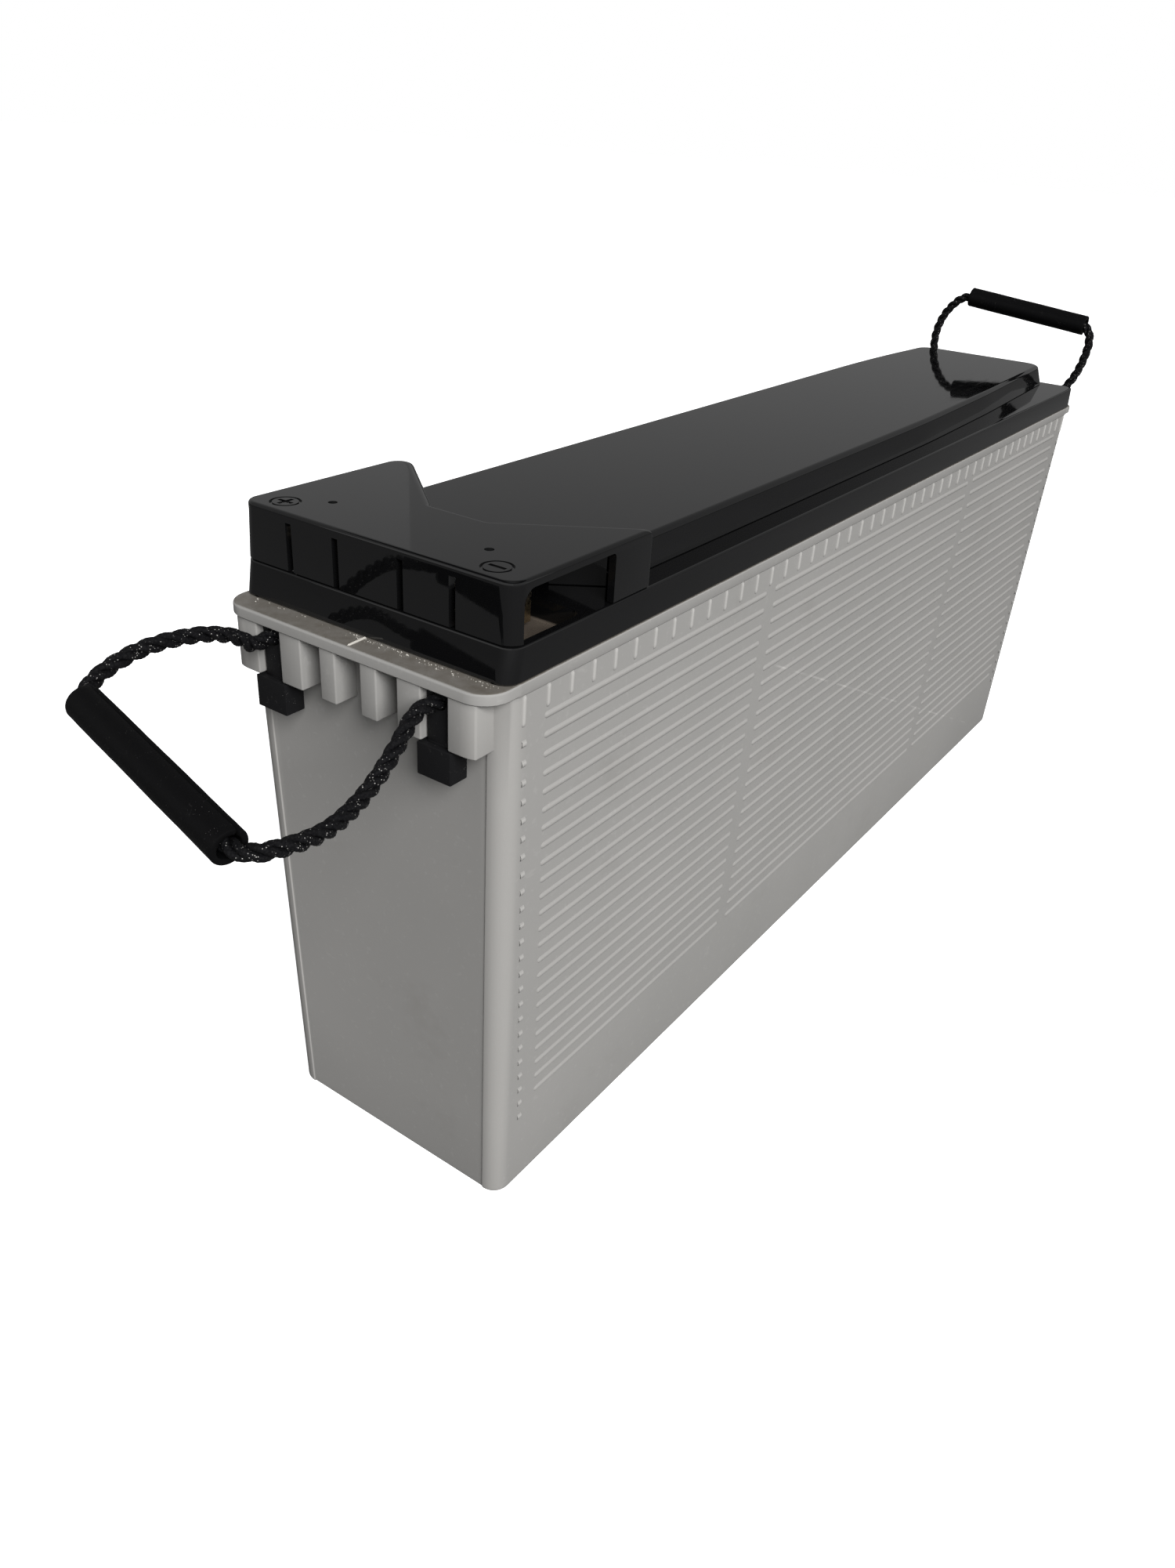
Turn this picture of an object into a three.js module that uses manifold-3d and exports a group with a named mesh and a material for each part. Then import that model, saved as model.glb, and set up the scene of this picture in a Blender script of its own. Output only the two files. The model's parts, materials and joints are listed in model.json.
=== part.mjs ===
// Deep cycle battery: a long, slim 12 V front-terminal battery with two rope carry handles.
// Units are millimetres. X runs along the length with the terminals at -X, Z is up, and the
// origin is the centre of the container's bottom face.
import * as THREE from "three";
import { mergeVertices } from "three/addons/utils/BufferGeometryUtils.js";
import Module from "manifold-3d";

const wasm = await Module();
wasm.setup();

// ---- driving dimensions -------------------------------------------------------------------
const LENGTH = 551; // over the two end flanges
const WIDTH = 110;
const HEIGHT = 239;
const GAP = 0.3; // clearance between neighbouring pieces

const FOOT = { length: 524.4, width: 102.4 }; // container at its bottom
const SHOULDER = { length: 533.4, width: 109 }; // container just under the flange
const CORNER = 8; // plan radius of the container's corners
const LID_CORNER = 5.5;
const FLANGE_CORNER = 9.5;
const BOTTOM_ROUND = 2.2;
const WALL = 4;
const FLOOR = 5;
const PARTITION = 2;
const FLANGE_UNDER = 204.8;
const FLANGE_TOP = 208.7;

const LID = { length: 530, foot: 533.4, bottom: 209, ledge: 220, plate: 3, wall: 4 };
const BAY_FLOOR = 213;
const COVER = { top: HEIGHT, bottom: LID.ledge + GAP, wall: 2.5 };
const TOP = { top: 231, bottom: LID.ledge + GAP, wall: 2.5, halfFoot: 45.6, halfTop: 42.2 };
const TOP_END = { foot: 262.5, top: 256, round: 8 };
const TAPER = { right: [[60, 0], [150, 2.6]], rightEnd: 8.3, left: [[185, 0]], leftEnd: 5 };
// The curved edge between the two covers: a straight middle and two slanting sides.
const SCOOP = { midX: -226.5, right: { y: -14, endX: -195 }, left: { y: 8.4, endX: -187 } };
const SCOOP_FILLET = 3;
const COVER_DRAFT = 1.3; // lean of the cover's +Y side

const RIB = { rows: 24, first: 40, pitch: 6.7, proud: 0.5, height: 2.4 };
const RIB_SPANS = [[-246, -111], [-104.5, 104.5], [111, 246]];
const TICK = { count: 46, pitch: 11.5, bottom: 196.7, top: 204.5, width: 2, proud: 0.5 };

const ANCHOR = { y: 34.4, bar: 8.4, foot: 13, front: 275.2, stem: 272.8, back: 267.6 };
const ANCHOR_HEIGHTS = { top: 204.4, hook: 187.1, bottom: 176.3 };
const SKIRT = { front: 275.2, bottom: 187.5 };
const SKIRT_SPANS = [[39.5, 49.5], [20, 29.3], [5, 12]]; // |y| of the plates and webs under each flange

const ROPE = { radius: 2.3, sides: 8, steps: 46 };
const PIVOT = { x: 281, z: 201 };
const GRIP = { outer: 5.4, inner: 3.5, length: 72.6, slit: 0.24 };

const CELL = { pitch: 175, y: 23.5, plate: 158, bottom: 9, top: 176, strap: 71 };
const STACK = { negative: 2, positive: 3, mat: 1.8, positives: 4 };
const MAT = { bottom: 6, top: 180, reach: 81.4 };
const STRAP = { bottom: 184, top: 195, width: 14 };
const WELD = { radius: 6, z: 189.5 };

const TERMINAL = { x: -245, y: 26, half: 11, top: 226.5, post: 8, bore: 4 };
const SEAL_RADIUS = 12;
const VENT = { outer: 4, inner: 2, top: 225, capRadius: 6, capTop: 227 };

// ---- solids -------------------------------------------------------------------------------
function solid(geometry) {
  const bare = geometry.index ? geometry : geometry.clone();
  bare.deleteAttribute("normal");
  bare.deleteAttribute("uv");
  const merged = mergeVertices(bare, 1e-4);
  return new wasm.Manifold(new wasm.Mesh({
    numProp: 3,
    vertProperties: new Float32Array(merged.attributes.position.array),
    triVerts: new Uint32Array(merged.index.array),
  }));
}

function geometryOf(manifold) {
  const mesh = manifold.getMesh();
  const geometry = new THREE.BufferGeometry();
  geometry.setAttribute("position", new THREE.BufferAttribute(mesh.vertProperties, 3));
  geometry.setIndex(new THREE.BufferAttribute(mesh.triVerts, 1));
  return geometry;
}

function join(first, ...others) {
  return others.reduce((sum, other) => sum.add(other), first);
}

function cut(first, ...others) {
  return others.reduce((rest, other) => rest.subtract(other), first);
}

function box([x0, x1], [y0, y1], [z0, z1]) {
  const geometry = new THREE.BoxGeometry(x1 - x0, y1 - y0, z1 - z0);
  return solid(geometry.translate((x0 + x1) / 2, (y0 + y1) / 2, (z0 + z1) / 2));
}

// A cylinder standing on [x, y] between two heights.
function post([x, y], radius, [z0, z1], sides = 24) {
  const geometry = new THREE.CylinderGeometry(radius, radius, z1 - z0, sides);
  return solid(geometry.rotateX(Math.PI / 2).translate(x, y, (z0 + z1) / 2));
}

// A cylinder lying along X between two ends.
function bar([x0, x1], [y, z], radius, sides = 16) {
  const geometry = new THREE.CylinderGeometry(radius, radius, x1 - x0, sides);
  return solid(geometry.rotateZ(Math.PI / 2).translate((x0 + x1) / 2, y, z));
}

// The half turn about Z that carries a near-end piece to the far end.
function toFarEnd(manifold) {
  return solid(geometryOf(manifold).rotateZ(Math.PI));
}

// ---- outlines and lofts -------------------------------------------------------------------
const ARC_STEPS = 5;

// Points of a closed anticlockwise outline through [x, y, radius] corners.
function roundedOutline(corners) {
  const points = [];
  corners.forEach(([x, y, radius], i) => {
    const here = new THREE.Vector2(x, y);
    const before = cornerAt(corners, i - 1).sub(here).normalize();
    const after = cornerAt(corners, i + 1).sub(here).normalize();
    const half = Math.acos(THREE.MathUtils.clamp(before.dot(after), -1, 1)) / 2;
    const middle = before.clone().add(after).normalize();
    const centre = here.clone().addScaledVector(middle, radius / Math.sin(half));
    const start = here.clone().addScaledVector(before, radius / Math.tan(half)).sub(centre);
    const turn = (Math.PI - 2 * half) * Math.sign(after.cross(before));
    for (let k = 0; k <= ARC_STEPS; k++) {
      const spoke = start.clone().rotateAround(new THREE.Vector2(), (turn * k) / ARC_STEPS);
      points.push(spoke.add(centre));
    }
  });
  return points;
}

function cornerAt(corners, i) {
  const [x, y] = corners[(i + corners.length) % corners.length];
  return new THREE.Vector2(x, y);
}

// The same corners moved inwards by a distance, with their radii following.
function inset(corners, distance) {
  return corners.map(([x, y, radius], i) => {
    const here = new THREE.Vector2(x, y);
    const before = here.clone().sub(cornerAt(corners, i - 1)).normalize();
    const after = cornerAt(corners, i + 1).sub(here).normalize();
    const convex = before.cross(after) > 0;
    const normals = new THREE.Vector2(-before.y - after.y, before.x + after.x);
    const reach = distance / (1 + before.dot(after));
    const newRadius = Math.max(radius + (convex ? -distance : distance), 0.5);
    return [x + normals.x * reach, y + normals.y * reach, newRadius];
  });
}

function rectangle([x0, x1], [y0, y1], radius) {
  return [[x0, y0, radius], [x1, y0, radius], [x1, y1, radius], [x0, y1, radius]];
}

function centred(length, width, radius) {
  return rectangle([-length / 2, length / 2], [-width / 2, width / 2], radius);
}

// A closed solid through [z, corners] layers, lowest first.
function loft(layers) {
  const rings = layers.map(([z, corners]) => roundedOutline(corners).map((p) => [p.x, p.y, z]));
  const size = rings[0].length;
  const index = [];
  for (let r = 0; r + 1 < rings.length; r++) {
    for (let i = 0; i < size; i++) {
      const [a, b] = [r * size + i, r * size + ((i + 1) % size)];
      index.push(a, b, b + size, a, b + size, a + size);
    }
  }
  const cap = (ring, base, up) => {
    const outline = ring.map(([x, y]) => new THREE.Vector2(x, y));
    for (const [a, b, c] of THREE.ShapeUtils.triangulateShape(outline, [])) {
      index.push(base + a, base + (up ? b : c), base + (up ? c : b));
    }
  };
  cap(rings[0], 0, false);
  cap(rings.at(-1), (rings.length - 1) * size, true);
  const geometry = new THREE.BufferGeometry();
  geometry.setAttribute("position", new THREE.Float32BufferAttribute(rings.flat(2), 3));
  geometry.setIndex(index);
  return solid(geometry);
}

// ---- materials ----------------------------------------------------------------------------
function finish(color, roughness, metalness) {
  return new THREE.MeshStandardMaterial({ color, roughness, metalness });
}

const greyPlastic = finish(0x9a9894, 0.5, 0);
const glossBlack = finish(0x0c0c0d, 0.12, 0);
const mattBlack = finish(0x141414, 0.6, 0);
const ropeBlack = finish(0x161616, 0.85, 0);
const rubber = finish(0x1b1b1b, 0.8, 0);
const lead = finish(0x6e7074, 0.5, 0.9);
const positivePaste = finish(0x4a2f24, 0.9, 0);
const negativePaste = finish(0x70757a, 0.85, 0.1);
const glassMat = finish(0xe9e7df, 0.95, 0);
const brass = finish(0xb99a55, 0.35, 1);
const steel = finish(0xb4b6b8, 0.3, 1);
const redSeal = finish(0xa01c18, 0.5, 0);
const blackSeal = finish(0x202022, 0.5, 0);

const battery = new THREE.Group();

function place(name, geometry, material) {
  const mesh = new THREE.Mesh(geometry, material);
  mesh.name = name;
  battery.add(mesh);
  return mesh;
}

const add = (name, manifold, material) => place(name, geometryOf(manifold), material);

// ---- container ----------------------------------------------------------------------------
const share = (z) => z / FLANGE_UNDER;
const lengthAt = (z) => THREE.MathUtils.lerp(FOOT.length, SHOULDER.length, share(z));
const widthAt = (z) => THREE.MathUtils.lerp(FOOT.width, SHOULDER.width, share(z));

function containerOutside() {
  const shell = (z, margin) => {
    const corners = centred(lengthAt(z), widthAt(z), CORNER + margin / 2);
    return [z, inset(corners, margin)];
  };
  return loft([
    shell(0, BOTTOM_ROUND),
    shell(BOTTOM_ROUND * 0.3, BOTTOM_ROUND * 0.3),
    shell(BOTTOM_ROUND, 0),
    shell(FLANGE_UNDER, 0),
    [FLANGE_TOP, centred(lengthAt(FLANGE_TOP), WIDTH, CORNER)],
  ]);
}

// One of the six cell spaces: column -1, 0 or 1 along X, row -1 or 1 across.
function cellSpace(column, row) {
  const wallX = CELL.pitch / 2 + PARTITION / 2;
  const space = (z) => {
    const endX = lengthAt(z) / 2 - WALL;
    const x = column === 0 ? [-wallX + PARTITION, wallX - PARTITION] : [wallX, endX];
    const y = [PARTITION / 2, widthAt(z) / 2 - WALL];
    const xs = column < 0 ? [-x[1], -x[0]] : x;
    return [z, rectangle(xs, row < 0 ? [-y[1], -y[0]] : y, 3)];
  };
  return loft([space(FLOOR), space(FLANGE_TOP + 1)]);
}

// Strap welds pass through these places in the partitions.
const WELDS = [
  ["intercell_weld_1", -1, 1], ["intercell_weld_2", 1, 1], ["intercell_weld_3", 0, 0],
  ["intercell_weld_4", 1, -1], ["intercell_weld_5", -1, -1],
];
const weldX = CELL.pitch / 2; // centre of a cross partition
const endStrapX = CELL.pitch + CELL.strap;

function weldBar([, side, row], radius, reach) {
  const x = side * weldX;
  if (row !== 0) return bar([x - reach, x + reach], [row * CELL.y, WELD.z], radius);
  const across = new THREE.CylinderGeometry(radius, radius, 2 * reach, 16);
  return solid(across.translate(endStrapX, 0, WELD.z));
}

function containerRibs() {
  const ribs = [];
  for (let row = 0; row < RIB.rows; row++) {
    const z = RIB.first + row * RIB.pitch;
    const face = widthAt(z) / 2;
    const heights = [z - RIB.height / 2, z + RIB.height / 2];
    for (const span of RIB_SPANS) {
      ribs.push(box(span, [-face - RIB.proud, -face + 1], heights));
      ribs.push(box(span, [face - 1, face + RIB.proud], heights));
    }
  }
  return ribs;
}

function containerTicks() {
  const ticks = [];
  const face = widthAt(TICK.top) / 2;
  for (let i = 0; i < TICK.count; i++) {
    const x = (i - (TICK.count - 1) / 2) * TICK.pitch;
    const across = [x - TICK.width / 2, x + TICK.width / 2];
    ticks.push(box(across, [-face - TICK.proud, -face + 1], [TICK.bottom, TICK.top]));
    ticks.push(box(across, [face - 1, face + TICK.proud], [TICK.bottom, TICK.top]));
  }
  return ticks;
}

// Flange, plates and webs that hold the rope anchors at the near end.
function endShelf() {
  const inside = -lengthAt(SKIRT.bottom) / 2 + 1;
  const outline = rectangle([-LENGTH / 2, inside + 12], [-WIDTH / 2, WIDTH / 2], FLANGE_CORNER);
  const flange = loft([[FLANGE_UNDER, outline], [FLANGE_TOP, outline]]);
  const within = inset(outline, 0.6);
  const bounds = loft([[SKIRT.bottom - 1, within], [FLANGE_TOP - 1, within]]);
  const plates = SKIRT_SPANS.flatMap(([near, far]) => [
    box([-SKIRT.front, inside], [near, far], [SKIRT.bottom, FLANGE_UNDER + 1]),
    box([-SKIRT.front, inside], [-far, -near], [SKIRT.bottom, FLANGE_UNDER + 1]),
  ]);
  return join(flange, join(...plates).intersect(bounds));
}

function container() {
  const shelf = endShelf();
  const outside = join(containerOutside(), shelf, toFarEnd(shelf), ...containerRibs(), ...containerTicks());
  const cells = [-1, 0, 1].flatMap((column) => [cellSpace(column, 1), cellSpace(column, -1)]);
  const windows = WELDS.map((weld) => weldBar(weld, WELD.radius + 0.4, 5));
  return cut(outside, ...cells, ...windows);
}

// ---- lid and covers -----------------------------------------------------------------------
const ventPlaces = [-1, 0, 1].flatMap((column) => [-1, 1].map((row) => [column * 150 + 10, row * 22]));

// How far along X a slanting side of the scoop runs per millimetre of Y.
const scoopSlope = ({ y, endX }) => (endX - SCOOP.midX) / (WIDTH / 2 - Math.abs(y));

// One side's two scoop corners at half width `half`, moved towards -X by a distance.
function scoopCorners(side, half, distance) {
  const slope = scoopSlope(side);
  const stretch = Math.hypot(1, slope);
  const sign = Math.sign(side.y);
  const middle = Math.abs(side.y) + (distance * (stretch - 1)) / slope;
  const endX = SCOOP.midX - distance * stretch + slope * (half - Math.abs(side.y));
  return { middle: [SCOOP.midX - distance, sign * middle], end: [endX, sign * half] };
}

// Plan of the terminal cover: a full-width block with a scooped inner edge.
function coverPlan(lean, margin = 0, scoopMargin = margin) {
  const right = scoopCorners(SCOOP.right, WIDTH / 2 - margin, scoopMargin);
  const left = scoopCorners(SCOOP.left, WIDTH / 2 - lean - margin, scoopMargin);
  const endX = -LID.length / 2 + margin;
  const round = LID_CORNER - margin;
  return [
    [endX, right.end[1], round], [...right.end, 1.5], [...right.middle, 6],
    [...left.middle, 5], [...left.end, 4], [endX, left.end[1], round],
  ];
}

// Plan of the raised top cover, whose nose fits the terminal cover's scoop.
function topPlan(half, margin, endX) {
  const right = scoopCorners(SCOOP.right, half, -0.5 - margin);
  const left = scoopCorners(SCOOP.left, half, -0.5 - margin);
  const bend = ([x, drop], side) => [x, side * (half - drop), 1200];
  return [
    [...right.middle, 5.5], [...right.end, 3], ...TAPER.right.map((p) => bend(p, -1)),
    [endX, TAPER.rightEnd - half, TOP_END.round], [endX, half - TAPER.leftEnd, TOP_END.round],
    ...TAPER.left.map((p) => bend(p, 1)), [...left.end, 3], [...left.middle, 4.5],
  ];
}

function lid() {
  const outline = centred(LID.length, WIDTH, LID_CORNER);
  const block = loft([
    [LID.bottom, centred(LID.foot, WIDTH, LID_CORNER)], [LID.ledge - 0.8, outline],
    [LID.ledge, inset(outline, 0.8)],
  ]);
  const under = [-1, 0, 1].flatMap((column) => [-1, 1].map((row) => lidHollow(column, row)));
  const pit = rectangle([-LID.length / 2 + 3, SCOOP.midX - 2.2], [-WIDTH / 2 + 3, WIDTH / 2 - 3], 3);
  const bay = loft([[BAY_FLOOR, pit], [LID.ledge + 1, pit]]);
  const nozzles = ventPlaces.map((at) => post(at, VENT.outer, [LID.ledge - 1, VENT.top], 16));
  const vents = ventPlaces.map((at) => post(at, VENT.inner, [LID.bottom - 1, VENT.top + 1], 12));
  const bushes = [-1, 1].map((side) => {
    return post([TERMINAL.x, side * TERMINAL.y], SEAL_RADIUS + GAP, [LID.bottom - 1, LID.ledge]);
  });
  return cut(join(cut(block, ...under, bay), ...nozzles), ...vents, ...bushes);
}

// The space under the lid over one cell; the near cells stop short of the terminal bay.
function lidHollow(column, row) {
  const partition = PARTITION / 2 + 1;
  const end = LID.length / 2 - LID.wall;
  const spans = [
    [SCOOP.midX + 2, -weldX - partition], [-weldX + partition, weldX - partition],
    [weldX + partition, end],
  ];
  const across = [partition, WIDTH / 2 - LID.wall];
  const y = row < 0 ? [-across[1], -across[0]] : across;
  return box(spans[column + 1], y, [LID.bottom - 1, LID.ledge - LID.plate]);
}

function topCover() {
  const { top, halfTop } = TOP;
  const foot = topPlan(TOP.halfFoot, 0, TOP_END.foot);
  const outer = loft([
    [TOP.bottom, foot], [top - 2, topPlan(halfTop + 1.6, 0.2, TOP_END.top + 2.2)],
    [top - 0.7, topPlan(halfTop + 0.9, 0.5, TOP_END.top + 1.2)],
    [top, topPlan(halfTop - 0.2, 1.4, TOP_END.top)],
  ]);
  const inner = loft([
    [TOP.bottom - 1, inset(foot, TOP.wall)],
    [top - TOP.wall, inset(topPlan(halfTop, 0.8, TOP_END.top), TOP.wall)],
  ]);
  return cut(outer, inner);
}

const SLOTS = [-32.8, -13, 13, 32.8];
const SLOT_WIDTH = 2.4;
const WINDOW = { x0: -260.5, x1: -217, top: 236.2, round: 4 };

function terminalCover() {
  const plan = coverPlan(COVER_DRAFT);
  const outer = loft([
    [COVER.bottom, coverPlan(0)], [COVER.top - SCOOP_FILLET, plan],
    [COVER.top - 1.5, coverPlan(COVER_DRAFT, 0, SCOOP_FILLET * 0.14)],
    [COVER.top - 0.5, coverPlan(COVER_DRAFT, 0.5, SCOOP_FILLET * 0.45)],
    [COVER.top, coverPlan(COVER_DRAFT, 1.5, SCOOP_FILLET)],
  ]);
  const inner = loft([
    [COVER.bottom - 1, inset(coverPlan(0), COVER.wall)],
    [COVER.top - COVER.wall, inset(plan, COVER.wall)],
  ]);
  const endX = -LID.length / 2;
  const slots = SLOTS.map((y) => {
    const across = [y - SLOT_WIDTH / 2, y + SLOT_WIDTH / 2];
    return box([endX - 1, endX + 4], across, [COVER.bottom - 1, WINDOW.top]);
  });
  return cut(outer, inner, ...slots, cableWindow(), ...polarityMarks());
}

// Rounded openings through both long sides, where the cables leave.
function cableWindow() {
  const corners = [
    [WINDOW.x0, COVER.bottom - 1, 0.5], [WINDOW.x1, COVER.bottom - 1, 0.5],
    [WINDOW.x1, WINDOW.top, 2], [WINDOW.x0, WINDOW.top, WINDOW.round],
  ];
  const shape = new THREE.Shape(roundedOutline(corners));
  const geometry = new THREE.ExtrudeGeometry(shape, { depth: WIDTH + 4, bevelEnabled: false });
  return solid(geometry.rotateX(Math.PI / 2).translate(0, WIDTH / 2 + 2, 0));
}

// A plus and a minus sunk into the cover's top by their terminals.
function polarityMarks() {
  const depth = [COVER.top - 0.6, COVER.top + 1];
  const [x, y] = [-256.5, 42.5];
  const [long, thin] = [3.2, 0.7];
  return [
    box([x - long, x + long], [y - thin, y + thin], depth),
    box([x - thin, x + thin], [y - long, y + long], depth),
    box([x - thin, x + thin], [-y - long, -y + long], depth),
  ];
}

// ---- cells --------------------------------------------------------------------------------
const PLATES = 2 * STACK.positives + 1;
const stackStep = (STACK.negative + STACK.positive) / 2 + STACK.mat + 2 * GAP;
const plateY = (i) => (i - STACK.positives) * stackStep;

// The cell's plates of one kind, hung by their lugs from one strap.
function plateGroup(kind, [cx, cy], strapSide) {
  const thickness = STACK[kind];
  const strapX = cx + strapSide * CELL.strap;
  const all = Array.from({ length: PLATES }, (_, i) => i);
  const mine = all.filter((i) => (i % 2 === 1) === (kind === "positive"));
  const pieces = mine.flatMap((i) => {
    const y = [cy + plateY(i) - thickness / 2, cy + plateY(i) + thickness / 2];
    const plate = box([cx - CELL.plate / 2, cx + CELL.plate / 2], y, [CELL.bottom, CELL.top]);
    return [plate, box([strapX - 5, strapX + 5], y, [CELL.top - 1, STRAP.bottom + 1])];
  });
  const reach = plateY(PLATES - 1) + STACK.negative / 2;
  const along = [strapX - STRAP.width / 2, strapX + STRAP.width / 2];
  const strap = box(along, [cy - reach, cy + reach], [STRAP.bottom, STRAP.top]);
  return join(strap, ...pieces);
}

// One glass mat folded back and forth between the plates.
function foldedMat([cx, cy]) {
  const layers = 2 * STACK.positives;
  const pieces = [];
  for (let i = 0; i < layers; i++) {
    const y = cy + (i - (layers - 1) / 2) * stackStep;
    const span = [y - STACK.mat / 2, y + STACK.mat / 2];
    pieces.push(box([cx - MAT.reach, cx + MAT.reach], span, [MAT.bottom, MAT.top]));
    if (i + 1 < layers) {
      const side = i % 2 === 0 ? 1 : -1;
      const xs = [cx + side * MAT.reach, cx + side * (MAT.reach - STACK.mat)].sort((a, b) => a - b);
      pieces.push(box(xs, [y, y + stackStep], [MAT.bottom, MAT.top]));
    }
  }
  return join(...pieces);
}

function addCells() {
  const order = [[-1, 1], [0, 1], [1, 1], [1, -1], [0, -1], [-1, -1]];
  order.forEach(([column, row], i) => {
    const centre = [column * CELL.pitch, row * CELL.y];
    const positiveSide = row > 0 ? -1 : 1;
    add(`positive_plates_${i + 1}`, plateGroup("positive", centre, positiveSide), positivePaste);
    add(`negative_plates_${i + 1}`, plateGroup("negative", centre, -positiveSide), negativePaste);
    add(`glass_mat_${i + 1}`, foldedMat(centre), glassMat);
  });
  const along = (CELL.pitch - 2 * CELL.strap - STRAP.width) / 2 - GAP;
  const across = CELL.y - plateY(PLATES - 1) - STACK.negative / 2 - GAP;
  for (const weld of WELDS) add(weld[0], weldBar(weld, WELD.radius, weld[2] ? along : across), lead);
}

// ---- terminals and vent valves ------------------------------------------------------------
function lathe(points, [x, y], sides = 24) {
  const profile = points.map(([r, z]) => new THREE.Vector2(r, z));
  const geometry = new THREE.LatheGeometry([...profile, profile[0].clone()], sides);
  return solid(geometry.rotateX(Math.PI / 2).translate(x, y, 0));
}

function addTerminal(sign, side, sealMaterial) {
  const at = [TERMINAL.x, side * TERMINAL.y];
  const [x, y] = at;
  const span = (middle) => [middle - TERMINAL.half, middle + TERMINAL.half];
  const block = box(span(x), span(y), [214.6, TERMINAL.top]);
  const stud = post(at, TERMINAL.post, [STRAP.top + GAP, 215.6]);
  const bore = post(at, TERMINAL.bore, [211, TERMINAL.top + 1]);
  add(`terminal_${sign}`, cut(join(block, stud), bore), brass);
  const inner = TERMINAL.post + GAP;
  add(`terminal_seal_${sign}`, ring(at, inner, SEAL_RADIUS, [LID.bottom + 0.5, 214.2]), sealMaterial);
  add(`flat_washer_${sign}`, ring(at, 4.2, 8, [TERMINAL.top + GAP, TERMINAL.top + 1.9]), steel);
  add(`spring_washer_${sign}`, springWasher(at, [TERMINAL.top + 2.2, TERMINAL.top + 4]), steel);
  add(`terminal_bolt_${sign}`, bolt(at, TERMINAL.top + 4.3), steel);
}

function ring(at, inner, outer, [z0, z1]) {
  return lathe([[inner, z0], [outer, z0], [outer, z1], [inner, z1]], at);
}

function springWasher(at, heights) {
  const [x, y] = at;
  const split = box([x, x + 8], [y - 0.6, y + 0.6], [heights[0] - 1, heights[1] + 1]);
  return cut(ring(at, 4.2, 6.4, heights), split);
}

// M8 hexagon bolt with its head standing on the washers.
function bolt(at, seat) {
  const head = post(at, 7.4, [seat, seat + 5], 6);
  return join(head, post(at, 3.6, [seat - 16, seat + 1], 16));
}

function addVents() {
  const gap = VENT.outer + GAP;
  ventPlaces.forEach((at, i) => {
    const roof = VENT.top + GAP;
    const profile = [
      [0, roof], [gap, roof], [gap, LID.ledge + 0.5], [VENT.capRadius, LID.ledge + 0.5],
      [VENT.capRadius, VENT.capTop - 0.6], [VENT.capRadius - 0.8, VENT.capTop], [0, VENT.capTop],
    ];
    add(`vent_valve_${i + 1}`, lathe(profile, at, 16), rubber);
  });
}

// ---- rope handles -------------------------------------------------------------------------
function addAnchors(end, turn) {
  for (const [name, side] of [["left", 1], ["right", -1]]) {
    const y = side * ANCHOR.y;
    const across = (width) => [y - width / 2, y + width / 2];
    const depth = [-ANCHOR.front, -ANCHOR.back];
    const { top, hook: shoulder, bottom } = ANCHOR_HEIGHTS;
    const stem = box([-ANCHOR.stem, -ANCHOR.back], across(ANCHOR.bar), [bottom + 2, top]);
    const hook = box(depth, across(ANCHOR.foot), [bottom, shoulder]);
    const eye = bar([-ANCHOR.front - 1, -ANCHOR.back + 1], [y, PIVOT.z], ROPE.radius + 0.5);
    const anchor = cut(join(stem, hook), eye);
    add(`${end}_anchor_${name}`, turn(anchor), mattBlack);
    const tailEnd = 2 * ROPE.radius - PIVOT.x; // clear of the rope as it swings
    const tail = bar([tailEnd, -ANCHOR.back], [y, PIVOT.z], ROPE.radius, ROPE.sides);
    add(`${end}_rope_tail_${name}`, turn(tail), ropeBlack);
  }
}

// The near handle stands out level from its flange, the far one stands up.
const nearRoute = [
  [-281, 34.4, 201], [-283.6, 34.5, 203], [-287.2, 34.8, 205.4], [-291.4, 35.3, 207.2],
  [-297, 36.2, 208.7], [-304, 37.5, 209.4], [-311, 38.9, 209.4], [-317.2, 40.1, 208.6],
  [-323.2, 40.9, 207.1], [-329, 40.9, 205.2], [-333.8, 39.5, 203.6], [-337.2, 36.6, 202.3],
  [-338.7, 32.8, 201.3], [-341.1, 16.4, 198.4], [-343.6, -0.6, 195.3], [-346.1, -17.6, 192.3],
  [-348.4, -32.6, 189.7], [-348.3, -37.3, 189.1], [-345.8, -41.3, 189], [-341.4, -43.4, 188.8],
  [-335.2, -44.4, 188.1], [-328.3, -44.1, 187.1], [-320.8, -42.8, 186.6], [-314.2, -41.3, 187],
  [-307.6, -39.8, 188.2], [-301.2, -38.4, 190.4], [-295.3, -37.2, 193.3], [-290, -36.2, 196.5],
  [-285.3, -35, 199.2], [-281, -34.4, 201],
];
const farRoute = [
  [281, 34.4, 201], [283.6, 34.6, 202.4], [286.2, 35.4, 205.8], [288.4, 37.6, 211.4],
  [289.8, 40.9, 218.6], [290.1, 43.4, 227.4], [289.6, 43.1, 237], [288.9, 40, 246.2],
  [288.3, 35.2, 253], [288.1, 30.6, 257], [288, 25.4, 258.7], [288, 18, 258.2],
  [288, 4, 256.7], [288, -12, 255], [288, -28, 253.3], [288, -42.6, 251.8],
  [288, -47.6, 250.6], [288.2, -50.6, 246.9], [288.7, -51.6, 241.5], [289.3, -51.1, 235.5],
  [289.8, -49.6, 228], [289.9, -46.9, 220.4], [288.6, -42.8, 213], [286.4, -38.2, 206.4],
  [283.7, -35.2, 202.6], [281, -34.4, 201],
];
const gripEnds = {
  near: [[-338.3, 36.4, 201.9], [-348.9, -35.6, 189.1]],
  far: [[288, 24.6, 258.85], [288, -47.2, 251.35]],
};

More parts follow.
